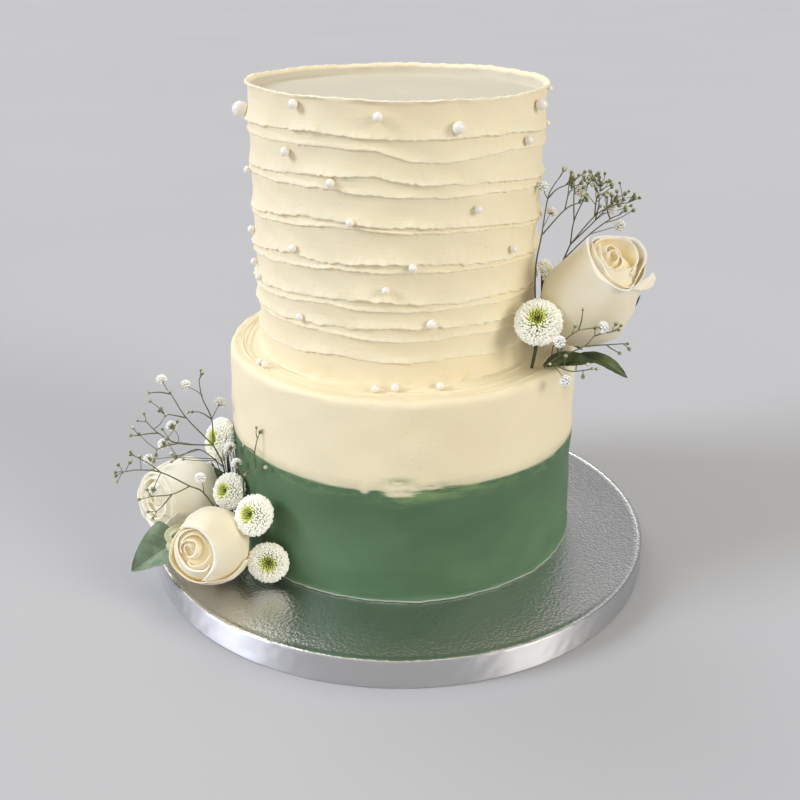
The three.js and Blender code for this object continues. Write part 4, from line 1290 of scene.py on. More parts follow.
# A narrow lobe of a rim that has turned right over, between its lower and its upper edge
def flapPoints(rose):
    edges = []
    for key in ("low", "high"):
        angle, reach, level = resample(rose["flap"][key], flapGrid["along"])
        angle, reach, rise = np.radians(angle), reach * rose["radius"], level * rose["length"]
        edges.append(np.stack([reach * np.cos(angle), reach * np.sin(angle), rise], axis=-1))
    share = np.linspace(0, 1, flapGrid["across"])[None, :, None]
    grid = edges[0][:, None] * (1 - share) + edges[1][:, None] * share
    along = np.linspace(0, 1, flapGrid["along"])[:, None]
    grid[..., 2] -= flapGrid["sag"] * np.sin(math.pi * share[..., 0]) * np.sin(math.pi * along)
    return grid


# A rose and its calyx, as two pieces. Its folds are marked from 0 outside to 1 deep inside.
def rosePiece(name, rose):
    rng = np.random.default_rng(rose["seed"])
    parts, fold, rimward = [], [], []
    for petal in rose["petals"]:
        grid, v, level = petalPoints(rose, petal, rng)
        parts.append(thickSheet(grid, petalGrid["thickness"]))
        if "foot" in petal:
            inner = 0.85 * (1 - ease(v, 0.45, 0.93)) + 0.12 + (0.15 if petal.get("heart") else 0)
            outer = inner
        else:
            inner = 0.9 * (1 - ease(level, 0.40, 0.53))
            outer = 0 * v
        fold += [outer.ravel(), inner.ravel()]
        rimward += [v.ravel()] * 2
    if "flap" in rose:
        grid = flapPoints(rose)
        parts.append(thickSheet(grid, petalGrid["thickness"]))
        fold.append(np.zeros(grid.shape[0] * grid.shape[1] * 2))
        rimward.append(np.full(grid.shape[0] * grid.shape[1] * 2, 0.92))
    core = [(r, min(h, coreFoot) + max(h - coreFoot, 0) * rose["full"]) for r, h in bloomCore]
    corePart = turnedPart([(r * rose["radius"], h * rose["length"]) for r, h in core], 40)
    parts.append(corePart)
    fold.append(np.ones(len(corePart[0])))
    rimward.append(np.full(len(corePart[0]), 0.5))
    points, faces = gather(parts)
    points = placePoints(hollowed(points, rose), upTo(rose["opens"]), rose["centre"])
    attributes = {"fold": np.concatenate(fold), "rimward": np.concatenate(rimward)}
    # how much paler the petals are painted, as painted light
    attributes["pale"] = np.full(len(points), rose.get("pale", 0.0))
    mesh = makeMesh(name, points, faces, attributes, 60)
    makePiece(name, mesh, petalLook, [rose["node"]])
    points, faces = gather(calyxParts(rose))
    calyx = name + "Calyx"
    makePiece(calyx, makeMesh(calyx, points, faces, None, 60), stemLook, [rose["node"]])


for name, rose in roses.items():
    rosePiece(name, rose)
print("roses made")


# Button mums

# Each head faces one way, and its eye may look another
mums = {
    "mumRightFront": {
        "node": "mum_right_front", "centre": (74, -54.5, 165.5), "radius": 13.0,
        "faces": (-0.08, -0.78, 0.62), "eye": (-0.16, -0.66, 0.73),
        "stem": [(75, -46, 150), (73, -46, 135.7)],
    },
    "mumRightBack": {
        "node": "mum_right_back", "centre": (84.4, -1, 177), "radius": 8.0,
        "faces": (0.88, -0.2, 0.42), "eye": (0.88, -0.2, 0.42),
        "stem": [(83, -1, 160), (84, 0, 135.5)],
        "loose": {"Florets": 300, "Width": 0.075, "Length": 0.34, "Jitter": 0.42},
    },
    "mumLeftHigh": {
        "node": "mum_left_high", "centre": (-99.5, -46, 57), "radius": 11.0,
        "faces": (-0.47, -0.71, 0.53), "eye": (-0.66, -0.60, 0.46),
        "stem": [(-97.5, -39, 40), (-98, -38, 17.4)],
    },
    "mumLeftMiddle": {
        "node": "mum_left_middle", "centre": (-80.6, -79.2, 60.1), "radius": 11.7,
        "faces": (-0.35, -0.75, 0.56), "eye": (-0.55, -0.66, 0.52),
        "stem": [(-77.5, -69, 42), (-78.5, -67.5, 17.7)],
    },
    "mumLeftLow": {
        "node": "mum_left_low", "centre": (-73.8, -82, 31.2), "radius": 11.7,
        "faces": (0, -0.97, 0.24), "eye": (0.03, -0.95, 0.30),
        "stem": [(-73, -74.5, 26), (-72.5, -73, 17.6)],
    },
    "mumLeftBack": {
        "node": "mum_left_back", "centre": (-108.5, -16, 76), "radius": 13.4,
        "faces": (-0.8, -0.5, 0.36), "eye": (-0.8, -0.5, 0.36),
        "stem": [(-107, -4, 56), (-107.5, -2, 17.5)],
    },
}
# Sizes of the head and its florets are shares of the head's radius
mumHead = {
    "Florets": 660,
    "Wide": 0.72,
    "Thick": 0.24,
    "Past": 1.56,
    "Length": 0.29,
    "Width": 0.056,
    "Dip": 0.15,
    "Jitter": 0.15,
    "Seed": 7,
}
# The green cup behind the florets, as radius and height
mumCup = [
    (0.10, -0.36), (0.34, -0.35), (0.56, -0.27), (0.72, -0.13), (0.72, 0.0), (0.52, 0.10), (0.2, 0.06),
    (0.05, 0.02),
]
mumColours = {
    "white": ((0.93, 0.92, 0.79), (0.98, 0.97, 0.90)),
    "base": (0.66, 0.66, 0.36),
    # eye: the florets' own dark green at the centre, painted near-black as painted shade in its hole, then
    # their own yellow-green
    "eye": ((0.02, 0.03, 0.004), (0.72, 0.77, 0.12)),
    "glow": 0.085,
}
goldenTurn = 2.39996


# Directions wound evenly over a ball, from its top to somewhat past its middle: how far along the
# winding each one is, and its three parts
def windBall(graph, count, past):
    index = graph.node("GeometryNodeInputIndex")
    share = (index + 0.5) / count
    rise = 1.0 - share * past
    around = (1.0 - rise * rise).maths("MAXIMUM", 0.0) ** 0.5
    turn = index * goldenTurn
    return share, around * turn.maths("COSINE"), around * turn.maths("SINE"), rise


# One floret: a little club, round at its tip
def floretShape(graph, entry):
    ball = graph.node("GeometryNodeMeshUVSphere", {}, {"Segments": 6, "Rings": 5, "Radius": 1.0})
    x, y, z = graph.split(graph.node("GeometryNodeInputPosition"))
    tip = (z + 1.0) * 0.5
    club = (0.80 + 0.26 * tip) * entry["Width"] * entry["Radius"]
    stretch = (1.0 - (1.0 - tip) ** 1.5) * entry["Length"] * entry["Radius"]
    shaped = graph.node("ShaderNodeCombineXYZ", {}, (x * club, y * club, stretch))
    values = {"Geometry": graph.marked(ball, "tip", tip), "Position": shaped}
    return graph.node("GeometryNodeSetPosition", {}, values)


# Florets stand all over a flattened ball, small and sunk at its eye
def mumTree():
    inputs = {key: ("Int" if isinstance(value, int) else "Float", value) for key, value in mumHead.items()}
    inputs["Radius"] = ("Float", 0.012)
    inputs["Eye"] = ("Vector", (0.0, 0.0, 1.0))
    inputs["Material"] = ("Material", None)
    tree, graph, entry = newTree("mumFlorets", inputs)
    radius = entry["Radius"]
    share, x, y, rise = windBall(graph, entry["Florets"], entry["Past"])
    out = graph.node("ShaderNodeCombineXYZ", {}, (x, y, rise))
    values = {"Vector": out, "Rotation": graph.alignedTo(entry["Eye"])}
    x, y, z = graph.split(graph.node("FunctionNodeRotateVector", {}, values))
    flat = entry["Wide"] * radius
    place = graph.node("ShaderNodeCombineXYZ", {}, (x * flat, y * flat, z * entry["Thick"] * radius))
    sunk = (1.0 - graph.smoothStep(share, 0.0, 0.06)) * entry["Dip"] * radius
    place = graph.vector("SUBTRACT", place, graph.scaled(entry["Eye"], sunk))
    wander = graph.scaled(graph.wander(entry["Seed"]), entry["Jitter"])
    aim = graph.node("ShaderNodeCombineXYZ", {}, (x, y, z * 0.9 + 0.12))
    aim = graph.vector("ADD", graph.vector("NORMALIZE", aim), wander)
    points = graph.node("GeometryNodePoints", {}, {"Count": entry["Florets"], "Position": place})
    values = {2: 0.82, 3: 1.14, "Seed": entry["Seed"]}
    varied = graph.node("FunctionNodeRandomValue", {"data_type": "FLOAT"}, values, 1)
    size = (0.52 + 0.48 * graph.smoothStep(share, 0.005, 0.08)) * varied
    floret = floretShape(graph, entry)
    values = {"Points": points, "Instance": floret, "Rotation": graph.alignedTo(aim), "Scale": size}
    placed = graph.node("GeometryNodeInstanceOnPoints", {}, values)
    placed = graph.marked(placed, "ring", share, "INSTANCE")
    graph.node("NodeGroupOutput", {}, {0: graph.realised(placed, entry["Material"])})
    return tree


def mumMaterial():
    material, graph = newMaterial("mumFloret")
    ring = graph.attribute("ring")
    tip = graph.attribute("tip")
    speck = graph.grain(700.0, 2.0)
    white = graph.mixColour(speck, *mumColours["white"])
    white = graph.mixColour((1.0 - graph.smoothStep(tip, 0.12, 0.66)) * 0.8, white, mumColours["base"])
    # the centre of the eye is painted near-black as painted shade in its hole; round it the florets' own
    # yellow-green
    eye = graph.mixColour(graph.smoothStep(ring, 0.005, 0.010), *mumColours["eye"])
    colour = graph.mixColour(graph.smoothStep(ring, 0.02, 0.10), eye, white)
    # a faint glow stands for the light that passes through the thin florets
    glow = {"Subsurface_Weight": 0.2, "Subsurface_Radius": (1.0, 0.9, 0.6), "Subsurface_Scale": 0.0015}
    glow["Emission_Color"] = colour
    glow["Emission_Strength"] = mumColours["glow"]
    finishMaterial(graph, colour, 0.6, [(speck, 0.0001, 0.3)], **glow)
    return material


mumGrower = mumTree()
mumLook = mumMaterial()
cupLook = greenMaterial("mumCup", (0.20, 0.23, 0.07), (0.34, 0.37, 0.15), 0.5)


def mumPiece(name, mum):
    radius, node = mum["radius"], [mum["node"]]
    turn = upTo(mum["faces"])
    eye = turn.inverted() @ Vector(mum["eye"]).normalized()
    values = {"Radius": radius * mm, "Eye": tuple(eye), "Material": mumLook, **mum.get("loose", {})}
    piece = grow(name, makeMesh(name, [(0, 0, 0)], []), mumGrower, values)
    moveMesh(piece.data, turn, mum["centre"])
    settle(piece, node)
    points, faces = turnedPart([(r * radius, h * radius) for r, h in mumCup], 24)
    cup = makeMesh(name + "Cup", placePoints(points, turn, mum["centre"]), faces, None, 60)
    makePiece(name + "Cup", cup, cupLook, node)
    back = placePoints(np.array([[0, 0, -0.3 * radius]]), turn, mum["centre"])[0]
    points, faces = stemParts(smoothRun([back, *mum["stem"]], 6), 1.0, 8, 0.9)
    makePiece(name + "Stem", makeMesh(name + "Stem", points, faces, None, 60), stemLook, node)


for name, mum in mums.items():
    mumPiece(name, mum)
print("mums made")


# Leaves

# Each leaf lies along its midrib, widest at a share of its length; fold and wave lift its sides
leaves = {
    "leafLeft": {
        "node": "leaf_left", "look": "grey", "width": 27.5, "widest": 0.2, "fold": 0.6, "wave": 1.2,
        "midrib": [(-127, -60.5, 32.5), (-140, -66.5, 26.5), (-154, -72.5, 18.4)],
        "faces": (0.1, -0.45, 0.88),
    },
    "leafRightLong": {
        "node": "leaf_right_long", "look": "dark", "width": 7.4, "widest": 0.68, "fold": 0.55, "wave": 0.8,
        "midrib": [(88, -42, 138), (106.5, -48.5, 142), (125.5, -50, 131.5)],
        "faces": (0.1, -0.5, 0.85),
    },
    "leafRightShort": {
        "node": "leaf_right_short", "look": "dark", "width": 7, "widest": 0.5, "fold": 0.3, "wave": 0.5,
        "midrib": [(86, -46.5, 137), (94, -54, 142.5), (106, -58, 144)],
        "faces": (0, -0.5, 0.85),
    },
    "shadeLeaf": {
        "node": "leaf_right_short", "look": "dark", "width": 6.8, "widest": 0.45, "fold": 0.3, "wave": 0.5,
        "midrib": [(79.5, -45, 136.6), (88, -49, 142.6), (99.5, -51, 146)],
        "faces": (0.1, -0.8, 0.6),
    },
    "tuckedLeaf": {
        "node": "mum_left_high", "look": "dark", "width": 6.6, "widest": 0.5, "fold": 0.3, "wave": 0.4,
        "midrib": [(-99.5, -33, 47), (-103.2, -35.5, 58), (-109.5, -36, 67.5)],
        "faces": (-0.1, -0.9, 0.4),
    },
    "bract": {
        "node": "rose_left_front", "look": "pale", "width": 5.4, "widest": 0.5, "fold": 0.3, "wave": 0.5,
        "midrib": [
            (-119, -70, 48.5), (-126, -72.5, 47.5), (-130.2, -75, 44.5),
            (-128.4, -76, 40.5), (-129.8, -77, 37.5), (-123, -78, 34),
        ],
        "faces": (-0.5, -0.8, 0.3),
    },
}
leafGrid = {"rows": 40, "columns": 20, "thickness": 0.55}


def leafMesh(name, leaf):
    rows, columns = leafGrid["rows"], leafGrid["columns"]
    along = np.linspace(0, 1, rows + 1)
    run = smoothRun(leaf["midrib"], rows // 2)
    at = np.linspace(0, 1, len(run))
    run = np.stack([np.interp(along, at, run[:, k]) for k in range(3)], axis=-1)
    tangent = np.gradient(run, axis=0)
    tangent /= np.linalg.norm(tangent, axis=1, keepdims=True)
    face = np.array(leaf["faces"]) / np.linalg.norm(leaf["faces"])
    side = np.cross(tangent, face)
    side /= np.linalg.norm(side, axis=1, keepdims=True)
    normal = np.cross(side, tangent)
    rise = np.where(along < leaf["widest"], along / leaf["widest"], (1 - along) / (1 - leaf["widest"]))
    breadth = leaf["width"] / 2 * np.maximum(0.03, np.sin(math.pi / 2 * rise) ** 0.8)
    across = np.linspace(-1, 1, columns + 1)
    curl = leaf["wave"] * np.sin(5 * along[:, None] + 2 * across) * across ** 2
    ruck = 0.12 * np.sin(46 * along[:, None] - 9 * np.abs(across)) * np.abs(across)
    lift = leaf["fold"] * breadth[:, None] * np.abs(across) + curl + ruck + 0.45
    spread = (breadth[:, None] * across)[..., None]
    grid = run[:, None] + side[:, None] * spread + normal[:, None] * lift[..., None]
    points, faces = thickSheet(grid[:, ::-1], leafGrid["thickness"])
    attributes = {
        "along": np.tile((along[:, None] + 0 * across).ravel(), 2),
        "across": np.tile((0 * along[:, None] + across[::-1]).ravel(), 2),
    }
    return makeMesh(name, points, faces, attributes, 60)


def leafMaterial(name, dark, light, vein, gloss):
    material, graph = newMaterial(name)
    along, across = graph.attribute("along"), graph.attribute("across")
    aside = across.maths("ABSOLUTE")
    clouds = graph.smoothStep(graph.grain(150.0, 3.0), 0.34, 0.66)
    # side veins slant forwards from the midrib
    slant = (along * 9.0 - aside * 2.2).maths("FRACT")
    veins = 1.0 - graph.smoothStep((slant - 0.5).maths("ABSOLUTE"), 0.0, 0.07)
    midrib = 1.0 - graph.smoothStep(aside, 0.015, 0.06)
    colour = graph.mixColour(clouds, dark, light)
    # lighter patches: partly the leaf's own mottling and partly painted highlights
    patches = graph.smoothStep(graph.grain(95.0, 2.0, 0.5, 3.0), 0.56, 0.68)
    colour = graph.mixColour(patches * 0.5, colour, vein)
    colour = graph.mixColour(veins * 0.22, colour, vein)
    colour = graph.mixColour(midrib * 0.75, colour, vein)
    height = 1.0 - midrib * 0.8 - veins * 0.3
    finishMaterial(graph, colour, gloss + clouds * 0.1, [(height, 0.0004, 0.5)])
    return material


leafLooks = {
    "grey": leafMaterial("greyLeaf", (0.15, 0.22, 0.13), (0.23, 0.31, 0.20), (0.38, 0.45, 0.32), 0.42),
    "dark": leafMaterial("darkLeaf", (0.022, 0.042, 0.010), (0.075, 0.11, 0.03), (0.17, 0.20, 0.07), 0.34),
    "pale": leafMaterial("paleLeaf", (0.42, 0.46, 0.22), (0.62, 0.64, 0.38), (0.72, 0.74, 0.50), 0.45),
}
for name, leaf in leaves.items():
    makePiece(name, leafMesh(name, leaf), leafLooks[leaf["look"]], [leaf["node"]])
print("leaves made")


# Gypsophila: forking stems from the points below, tipped with round buds and open florets

# Each stem is its points and how many twigs with buds fan out from its end
sprigs = {
    "sprigRightTall": {
        "node": "sprig_right_tall",
        "stems": [
            ([(76, -34, 135.5), (75.5, -30, 160), (74.5, -27, 187), (77, -25, 205.5)], 0),
            ([(77, -25, 205.5), (79.5, -22, 225), (82.5, -20, 231.5), (85.5, -18.5, 235.5)], 3),
            ([(79.5, -22, 225), (84, -20.5, 229.5), (89, -20, 232)], 3),
            ([(77, -25, 205.5), (89.5, -20, 218.5), (97.5, -16, 221.5)], 4),
            ([(89.5, -20, 218.5), (90.2, -22, 226), (90.5, -22, 233)], 4),
        ],
        "florets": [((79.5, -22, 225), (76.5, -25, 231)), ((77.5, -24.4, 209.5), (81.5, -20, 216))],
        "cloud": [
            (86.8, -24.4, 241), (90.8, -24, 239.4), (95.7, -17.7, 236.5), (98.5, -19.2, 238.5),
            (97.7, -15.8, 221.3), (92.8, -17.6, 230), (97, -18.7, 232.4), (98.4, -20.4, 226.5),
        ],
    },
    "sprigRightWide": {
        "node": "sprig_right_wide",
        "stems": [
            ([(84, 9, 135.8), (89, 6, 165), (94.5, 3, 184), (97.5, 2, 193)], 0),
            ([(97.5, 2, 193), (98.5, 1, 207), (103.5, 2, 220), (105, 3, 227)], 4),
            ([(98.5, 1, 207), (97, -2, 220), (96.5, -4, 228)], 3),
            ([(97.5, 2, 193), (109, -4, 211), (118, -8, 218), (126, -9, 220)], 4),
            ([(109, -4, 211), (109, -6, 221), (111, -6, 228)], 4),
            ([(97.5, 2, 193), (111, 3, 207), (119, 4, 217)], 4),
            ([(111, 3, 207), (113, 7, 218), (110, 9, 225)], 3),
            ([(94.5, 3, 184), (107, -5, 201), (116, -14, 212), (120, -17, 215)], 2),
            ([(116, -14, 212), (114, -15, 216), (113, -16, 220)], 2),
        ],
        "florets": [
            ((107, -5, 201), (119, -20, 209.5)), ((103.5, 2, 220), (101, -2, 224)),
            ((111, 3, 207), (117, -3, 214)),
        ],
        "cloud": [
            (101.5, -14.4, 234.5), (104.9, -5.6, 235.8), (109.3, -5.3, 234.6), (112.8, -3.9, 234.4),
            (104.3, -17, 231.1), (110.5, -12.2, 231.7), (116.2, -0.3, 229.6), (122.9, 1.8, 228.1),
            (128.3, 4.1, 223.1), (131.5, 6.1, 219.8), (108.6, -13.8, 225.9), (112.7, -10.3, 224),
            (118, -3.6, 221.9), (120.8, -0.8, 220.7), (125.7, 3.1, 218.7), (130.6, 5.7, 214.7),
            (129.7, -4.7, 214.3), (122.1, -2, 216.5), (114.2, -5.2, 216.6), (119.5, -9, 225.5),
            (106.5, -8, 229.5), (115.4, -9.5, 229.8), (124.5, -5.5, 223.4), (108.3, -6, 226.3),
            (112.4, -6, 223.6), (116.5, -6, 227.5), (117.8, -6, 218.5), (111.3, -6, 216.8),
            (104.1, -6, 223), (101, -6, 227.4), (105.5, -6, 233),
        ],
    },
    "sprigRightLow": {
        "node": "sprig_right_low",
        "stems": [
            ([(80, -47, 136.8), (82, -53, 142), (86, -58, 147.5)], 0),
            ([(86, -58, 147.5), (92, -60.5, 151), (98.5, -62, 155), (103, -63, 161)], 2),
            ([(98.5, -62, 155), (110.5, -60, 155), (120, -57, 154.5)], 2),
            ([(110.5, -60, 155), (113, -60, 153), (116.5, -60, 151)], 1),
            ([(103, -63, 161), (107, -63, 162.5), (112, -62, 163)], 3),
            ([(86, -58, 147.5), (88, -63, 159), (94, -65, 165)], 0),
            ([(94, -65, 165), (95, -66, 171), (95, -67, 176)], 1),
            ([(82, -53, 142), (91, -63, 141), (100, -63, 141.5)], 2),
            ([(84, -43, 135.6), (84, -45, 146), (85.5, -45.5, 153)], 0),
            ([(87.5, -44, 135.6), (86.8, -46, 146), (84.5, -47, 152)], 0),
            ([(90, -45, 143), (96.5, -49, 142), (97, -50, 136)], 0),
        ],
        "florets": [
            ((86, -58, 147.5), (83.5, -71, 160)), ((94, -65, 165), (105, -65, 166.5)),
            ((82, -53, 142), (88, -67, 138)),
        ],
        "cloud": [
            (98.6, -63.2, 138.7), (88.9, -59.5, 147.1), (80.7, -61.6, 144.4), (100.7, -61.7, 144.4),
            (92, -64.5, 166.5),
        ],
    },
    "sprigLeftTall": {
        "node": "sprig_left_tall",
        "stems": [
            ([(-108.5, -30, 17.6), (-106, -31, 45), (-104.5, -33, 66), (-109.5, -34, 81)], 0),
            ([(-109.5, -34, 81), (-123.5, -36, 99.5), (-131.5, -34, 113.5)], 1),
            ([(-131.5, -34, 113.5), (-137, -36, 115.5), (-142, -38, 116)], 1),
            ([(-123.5, -36, 99.5), (-130, -36, 101), (-136, -36, 102)], 2),
            ([(-109.5, -34, 81), (-110.5, -28, 95), (-115.5, -26, 108), (-117, -24, 118)], 2),
            ([(-110.5, -28, 95), (-114, -30, 99), (-117, -32, 101.5)], 2),
            ([(-109.5, -34, 81), (-127.5, -44, 87), (-138.5, -44, 93.5), (-146, -40, 99)], 2),
            ([(-138.5, -44, 93.5), (-144, -45, 93.5), (-149.5, -46, 93)], 2),
            ([(-127.5, -44, 87), (-133, -48, 87.5), (-138.5, -51, 86.5)], 2),
            ([(-104.5, -33, 66), (-116, -42, 82), (-126.5, -52, 82)], 2),
            ([(-98.5, -30, 17.6), (-98.5, -31, 45), (-97.6, -31.5, 62), (-98.5, -31, 76)], 0),
            ([(-100.5, -31, 17.6), (-99.8, -32, 46), (-99.2, -32, 62), (-100.5, -31, 76)], 0),
            ([(-101.5, -30, 17.6), (-101.4, -31, 45), (-100.8, -31, 60), (-102.5, -30, 76)], 0),
            ([(-103, -32, 17.6), (-102.6, -33, 44), (-102.8, -32.5, 58), (-105, -30, 74)], 0),
            ([(-97, -31, 17.6), (-96.8, -32, 44), (-96.2, -32, 60), (-97, -31, 72)], 0),
            ([(-105, -31, 17.6), (-104.8, -33, 44), (-105.6, -33, 58), (-109.5, -30, 70)], 0),
        ],
        "florets": [
            ((-131.5, -34, 113.5), (-135.5, -34, 121)), ((-115, -26, 109), (-122.5, -30, 116.5)),
            ((-110.5, -28, 95), (-106.5, -24, 102)), ((-127.5, -44, 87), (-134.8, -25, 88)),
            ((-120.5, -41, 85), (-139.4, -27, 78)), ((-116, -42, 82), (-147, -33, 71)),
        ],
        "cloud": [
            (-134.8, -39.9, 102.4), (-136.4, -41.1, 94.1), (-133.6, -45.4, 89.8), (-124.6, -45.3, 77.3),
            (-130.7, -38, 74.9), (-141.8, -41.4, 112), (-130, -33, 95), (-150, -41.4, 90.9),
        ],
    },
    "sprigLeftWide": {
        "node": "sprig_left_wide",
        "stems": [
            ([(-106, -46.5, 17.6), (-105.5, -47.5, 38), (-112, -58, 62), (-118, -66, 71)], 0),
            ([(-118, -66, 71), (-134.5, -62, 77.5), (-148, -60, 78), (-157, -58, 75.5)], 4),
            ([(-134.5, -62, 77.5), (-142, -58, 81), (-149.5, -54, 83)], 2),
            ([(-118, -66, 71), (-127.5, -70, 68), (-139, -70, 66.5)], 2),
            ([(-127.5, -70, 68), (-132, -73, 63), (-136, -75, 59.5)], 2),
        ],
        "florets": [((-134.5, -62, 77.5), (-142, -53, 62)), ((-112, -58, 62), (-112, -64, 74))],
        "cloud": [(-147, -57, 84), (-153.5, -56, 80), (-138, -66, 82)],
    },
    "sprigLeftShort": {
        "node": "sprig_left_short",
        "stems": [
            ([(-89.5, -51.5, 17.6), (-90, -52, 50), (-89, -56, 72), (-81, -62.5, 81)], 0),
            ([(-81, -62.5, 81), (-81, -62.5, 90.5), (-79, -63, 99.5)], 2),
            ([(-81, -62.5, 90.5), (-83, -61.5, 92), (-86, -60, 93)], 1),
            ([(-81, -62.5, 81), (-78, -65, 82), (-75.5, -68, 84)], 1),
        ],
        "florets": [((-89, -56, 72), (-98, -41, 81.5)), ((-89, -56, 72), (-93, -50, 76))],
        "cloud": [(-86, -64, 78)],
    },
}
# Girths, sizes and lengths in millimetres; a stem swells to thick at its start and thins to its end
sprigStyle = {
    "stem": 0.42,
    "mainStem": (1.35, 1.0),
    "sideStem": (1.0, 0.65),
    "twig": 0.22,
    "twigEnds": (1.2, 0.9),
    "sag": 0.07,
    "bud": 2.5,
    "cup": 0.24,
    "floret": 8.4,
    "petals": 30,
    "reach": 6.0,
    "fan": 1.7,
    "seed": 30,
}
sprigColours = {
    "bud": ((0.16, 0.18, 0.07), (0.50, 0.51, 0.34)),
    "opening": (0.66, 0.66, 0.54),
    "floret": ((0.50, 0.52, 0.32), (0.92, 0.92, 0.88)),
    "speck": (0.78, 0.78, 0.70),
}


# A bud is a small pear, wide above and drawn in to its stalk
def budShape(graph):
    x, y, z = graph.split(graph.node("GeometryNodeInputPosition"))
    share = z + 0.5
    waist = 0.60 + 0.62 * share - 0.30 * share * share
    ball = graph.node("GeometryNodeMeshUVSphere", {}, {"Segments": 8, "Rings": 6, "Radius": 0.5})
    pear = graph.node("ShaderNodeCombineXYZ", {}, (x * waist * mm, y * waist * mm, (z + 0.3) * 1.1 * mm))
    values = {"Geometry": graph.marked(ball, "tip", share), "Position": pear}
    return graph.node("GeometryNodeSetPosition", {}, values)


# An open floret is a ruff of small cupped petals all over a ball
def ruffShape(graph, count, seed):
    _, x, y, z = windBall(graph, count, 1.45)
    out = graph.node("ShaderNodeCombineXYZ", {}, (x, y, z))
    place = graph.vector("ADD", graph.scaled(out, 0.27 * mm), (0.0, 0.0, 0.20 * mm))
    dots = graph.node("GeometryNodePoints", {}, {"Count": count, "Position": place})
    x, y, z = graph.split(graph.node("GeometryNodeInputPosition"))
    share = z + 0.5
    small = graph.node("GeometryNodeMeshUVSphere", {}, {"Segments": 6, "Rings": 4, "Radius": 0.5})
    shaped = (x * (0.12 + 0.22 * share) * mm, y * 0.13 * mm, (z * 0.30 + x * x * 0.25) * mm)
    petal = graph.node("ShaderNodeCombineXYZ", {}, shaped)
    values = {"Geometry": graph.marked(small, "tip", share), "Position": petal}
    petal = graph.node("GeometryNodeSetPosition", {}, values)
    aim = graph.vector("ADD", out, graph.scaled(graph.wander(seed), 0.35))
    values = {"Points": dots, "Instance": petal, "Rotation": graph.alignedTo(aim)}
    placed = graph.node("GeometryNodeInstanceOnPoints", {}, values)
    return graph.node("GeometryNodeRealizeInstances", {}, {0: placed})


# Tubes along the edges, and a bud (kind 1) or a floret in its cup (kind 2) on the lone points
def sprigTree():
    inputs = {
        "Stem": ("Material", None),
        "Bud": ("Material", None),
        "Floret": ("Material", None),
        "Petals": ("Int", sprigStyle["petals"]),
        "Seed": ("Int", 3),
    }
    tree, graph, entry = newTree("sprigs", inputs)

    def onPoints(shape, kind, scale, look):
        settings = {"data_type": "FLOAT", "operation": "EQUAL"}
        values = {"A": graph.named("kind"), "B": kind, "Epsilon": 0.1}
        chosen = graph.node("FunctionNodeCompare", settings, values)
        points = graph.node("GeometryNodeMeshToPoints", {}, {"Mesh": entry["Geometry"], "Selection": chosen})
        aimed = graph.alignedTo(graph.named("aim", "FLOAT_VECTOR"))
        size = graph.named("size") * scale
        values = {"Points": points, "Instance": shape, "Rotation": aimed, "Scale": size}
        return graph.realised(graph.node("GeometryNodeInstanceOnPoints", {}, values), entry[look])

    curve = graph.node("GeometryNodeMeshToCurve", {}, {"Mesh": entry["Geometry"]})
    ring = graph.node("GeometryNodeCurvePrimitiveCircle", {}, {"Resolution": 6, "Radius": 1.0 * mm})
    values = {"Curve": curve, "Profile Curve": ring, "Scale": graph.named("girth"), "Fill Caps": True}
    stems = graph.node("GeometryNodeCurveToMesh", {}, values)
    stems = graph.node("GeometryNodeSetMaterial", {}, {"Geometry": stems, "Material": entry["Stem"]})

    bud = budShape(graph)
    ruff = ruffShape(graph, entry["Petals"], entry["Seed"])
    joined = tree.nodes.new("GeometryNodeJoinGeometry")
    buds, cups = onPoints(bud, 1.0, 1.0, "Bud"), onPoints(bud, 2.0, sprigStyle["cup"], "Bud")
    for wire in (onPoints(ruff, 2.0, 1.0, "Floret"), cups, buds, stems):
        tree.links.new(wire.socket, joined.inputs[0])
    whole = graph.node("GeometryNodeRealizeInstances", {}, {0: Wire(graph, joined.outputs[0])})
    graph.node("NodeGroupOutput", {}, {0: whole})
    return tree


# The sprig as a wire mesh: stems as edges, and a lone point for each bud and floret
class SprigWires:
    def __init__(self, rng):
        self.rng = rng
        self.points, self.edges = [], []
        self.girth, self.kind, self.size, self.aim = [], [], [], []

    def point(self, place, girth, kind=0, size=1.0, aim=(0, 0, 1)):
        self.points.append(place)
        self.girth.append(girth)
        self.kind.append(kind)
        self.size.append(size)
        self.aim.append(aim)

    def run(self, places, thick, thin):
        start = len(self.points)
        for k, place in enumerate(places):
            self.point(place, thick + (thin - thick) * k / (len(places) - 1))
            if k:
                self.edges.append((start + k - 1, start + k))

    def twig(self, begin, end, kind, size):
        begin, end = np.array(begin, dtype=float), np.array(end, dtype=float)
        most = sprigStyle["sag"]
        sag = self.rng.uniform(-most, most, 3) * np.linalg.norm(end - begin)
        thick, thin = sprigStyle["twigEnds"]
        path = smoothRun([begin, (begin + end) / 2 + sag, end], 4)
        self.run(path, sprigStyle["twig"] * thick, sprigStyle["twig"] * thin)
        aim = end - begin
        self.point(end, 0.1, kind, size, tuple(aim / np.linalg.norm(aim)))

    def mesh(self, name):
        mesh = bpy.data.meshes.new(name)
        mesh.from_pydata([tuple(float(c) * mm for c in p) for p in self.points], self.edges, [])
        for key, values in (("girth", self.girth), ("kind", self.kind), ("size", self.size)):
            layer = mesh.attributes.new(key, "FLOAT", "POINT")
            layer.data.foreach_set("value", np.array(values, dtype=np.float32))
        layer = mesh.attributes.new("aim", "FLOAT_VECTOR", "POINT")
        layer.data.foreach_set("vector", np.array(self.aim, dtype=np.float32).ravel())
        return mesh


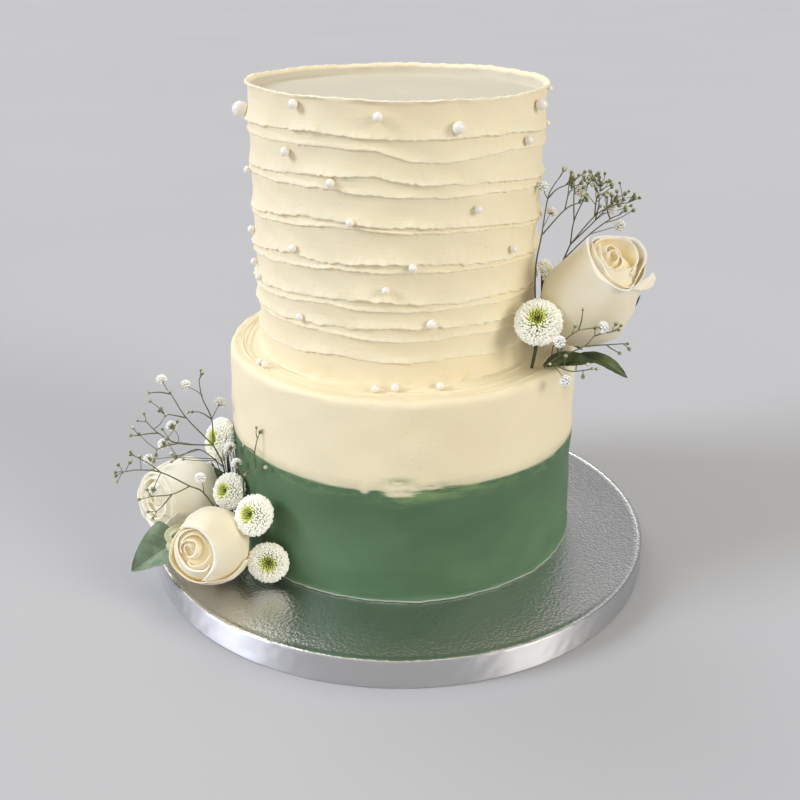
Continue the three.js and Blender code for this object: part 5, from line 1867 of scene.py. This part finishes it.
# Each bud of the cloud hangs on the nearest joint of a side stem that isn't above it
def sprigMesh(name, sprig, rng):
    wires = SprigWires(rng)
    joints = []
    for order, (path, count) in enumerate(sprig["stems"]):
        run = smoothRun(path, 6)
        thick, thin = sprigStyle["sideStem"] if order else sprigStyle["mainStem"]
        wires.run(run, sprigStyle["stem"] * thick, sprigStyle["stem"] * thin)
        if order:
            joints += list(run[2:])
        heading = run[-1] - run[-3]
        heading = heading / np.linalg.norm(heading)
        for _ in range(count):
            toward = heading + (rng.random(3) - [0.5, 0.5, 0.38]) * (0.0 if count == 1 else sprigStyle["fan"])
            toward = toward / np.linalg.norm(toward)
            length = 0.8 if count == 1 else sprigStyle["reach"] * rng.uniform(0.45, 1.1)
            wires.twig(run[-1], run[-1] + toward * length, 1, sprigStyle["bud"] * rng.uniform(0.75, 1.15))
    for begin, end in sprig["florets"]:
        wires.twig(begin, end, 2, sprigStyle["floret"] * rng.uniform(0.9, 1.05))
    joints = np.array(joints)
    for place in sprig["cloud"]:
        place = np.array(place, dtype=float)
        above = np.where(joints[:, 2] > place[2] - 4, 30, 0)
        away = np.linalg.norm((joints - place) * [1, 0.7, 1], axis=1) + above
        wires.twig(joints[np.argmin(away)], place, 1, sprigStyle["bud"] * rng.uniform(0.75, 1.2))
    return wires.mesh(name)


def budMaterial():
    material, graph = newMaterial("gypsophilaBud")
    tip = graph.attribute("tip")
    speck = graph.grain(900.0, 2.0)
    patch = graph.grain(260.0, 1.0)
    colour = graph.mixColour(graph.smoothStep(tip, 0.35, 0.95), *sprigColours["bud"])
    opening = graph.smoothStep(patch, 0.52, 0.68) * graph.smoothStep(tip, 0.3, 0.8)
    colour = graph.mixColour(opening, colour, sprigColours["opening"])
    finishMaterial(graph, colour, 0.6, [(speck, 0.0002, 0.4)])
    return material


def floretMaterial():
    material, graph = newMaterial("gypsophilaFloret")
    tip = graph.attribute("tip")
    speck = graph.grain(1100.0, 2.0)
    colour = graph.mixColour(graph.smoothStep(tip, 0.0, 0.5), *sprigColours["floret"])
    colour = graph.mixColour(speck * 0.2, colour, sprigColours["speck"])
    glow = {"Subsurface_Weight": 0.2, "Subsurface_Radius": (1.0, 0.95, 0.8), "Subsurface_Scale": 0.0015}
    finishMaterial(graph, colour, 0.6, [(speck, 0.0001, 0.3)], **glow)
    return material


sprigGrower = sprigTree()
sprigLooks = {
    "Stem": greenMaterial("gypsophilaStem", (0.08, 0.09, 0.03), (0.165, 0.172, 0.07), 0.5),
    "Bud": budMaterial(),
    "Floret": floretMaterial(),
}
for number, (name, sprig) in enumerate(sprigs.items()):
    rng = np.random.default_rng(sprigStyle["seed"] + number)
    piece = grow(name, sprigMesh(name, sprig, rng), sprigGrower, sprigLooks)
    settle(piece, [sprig["node"]])
print("gypsophila made")
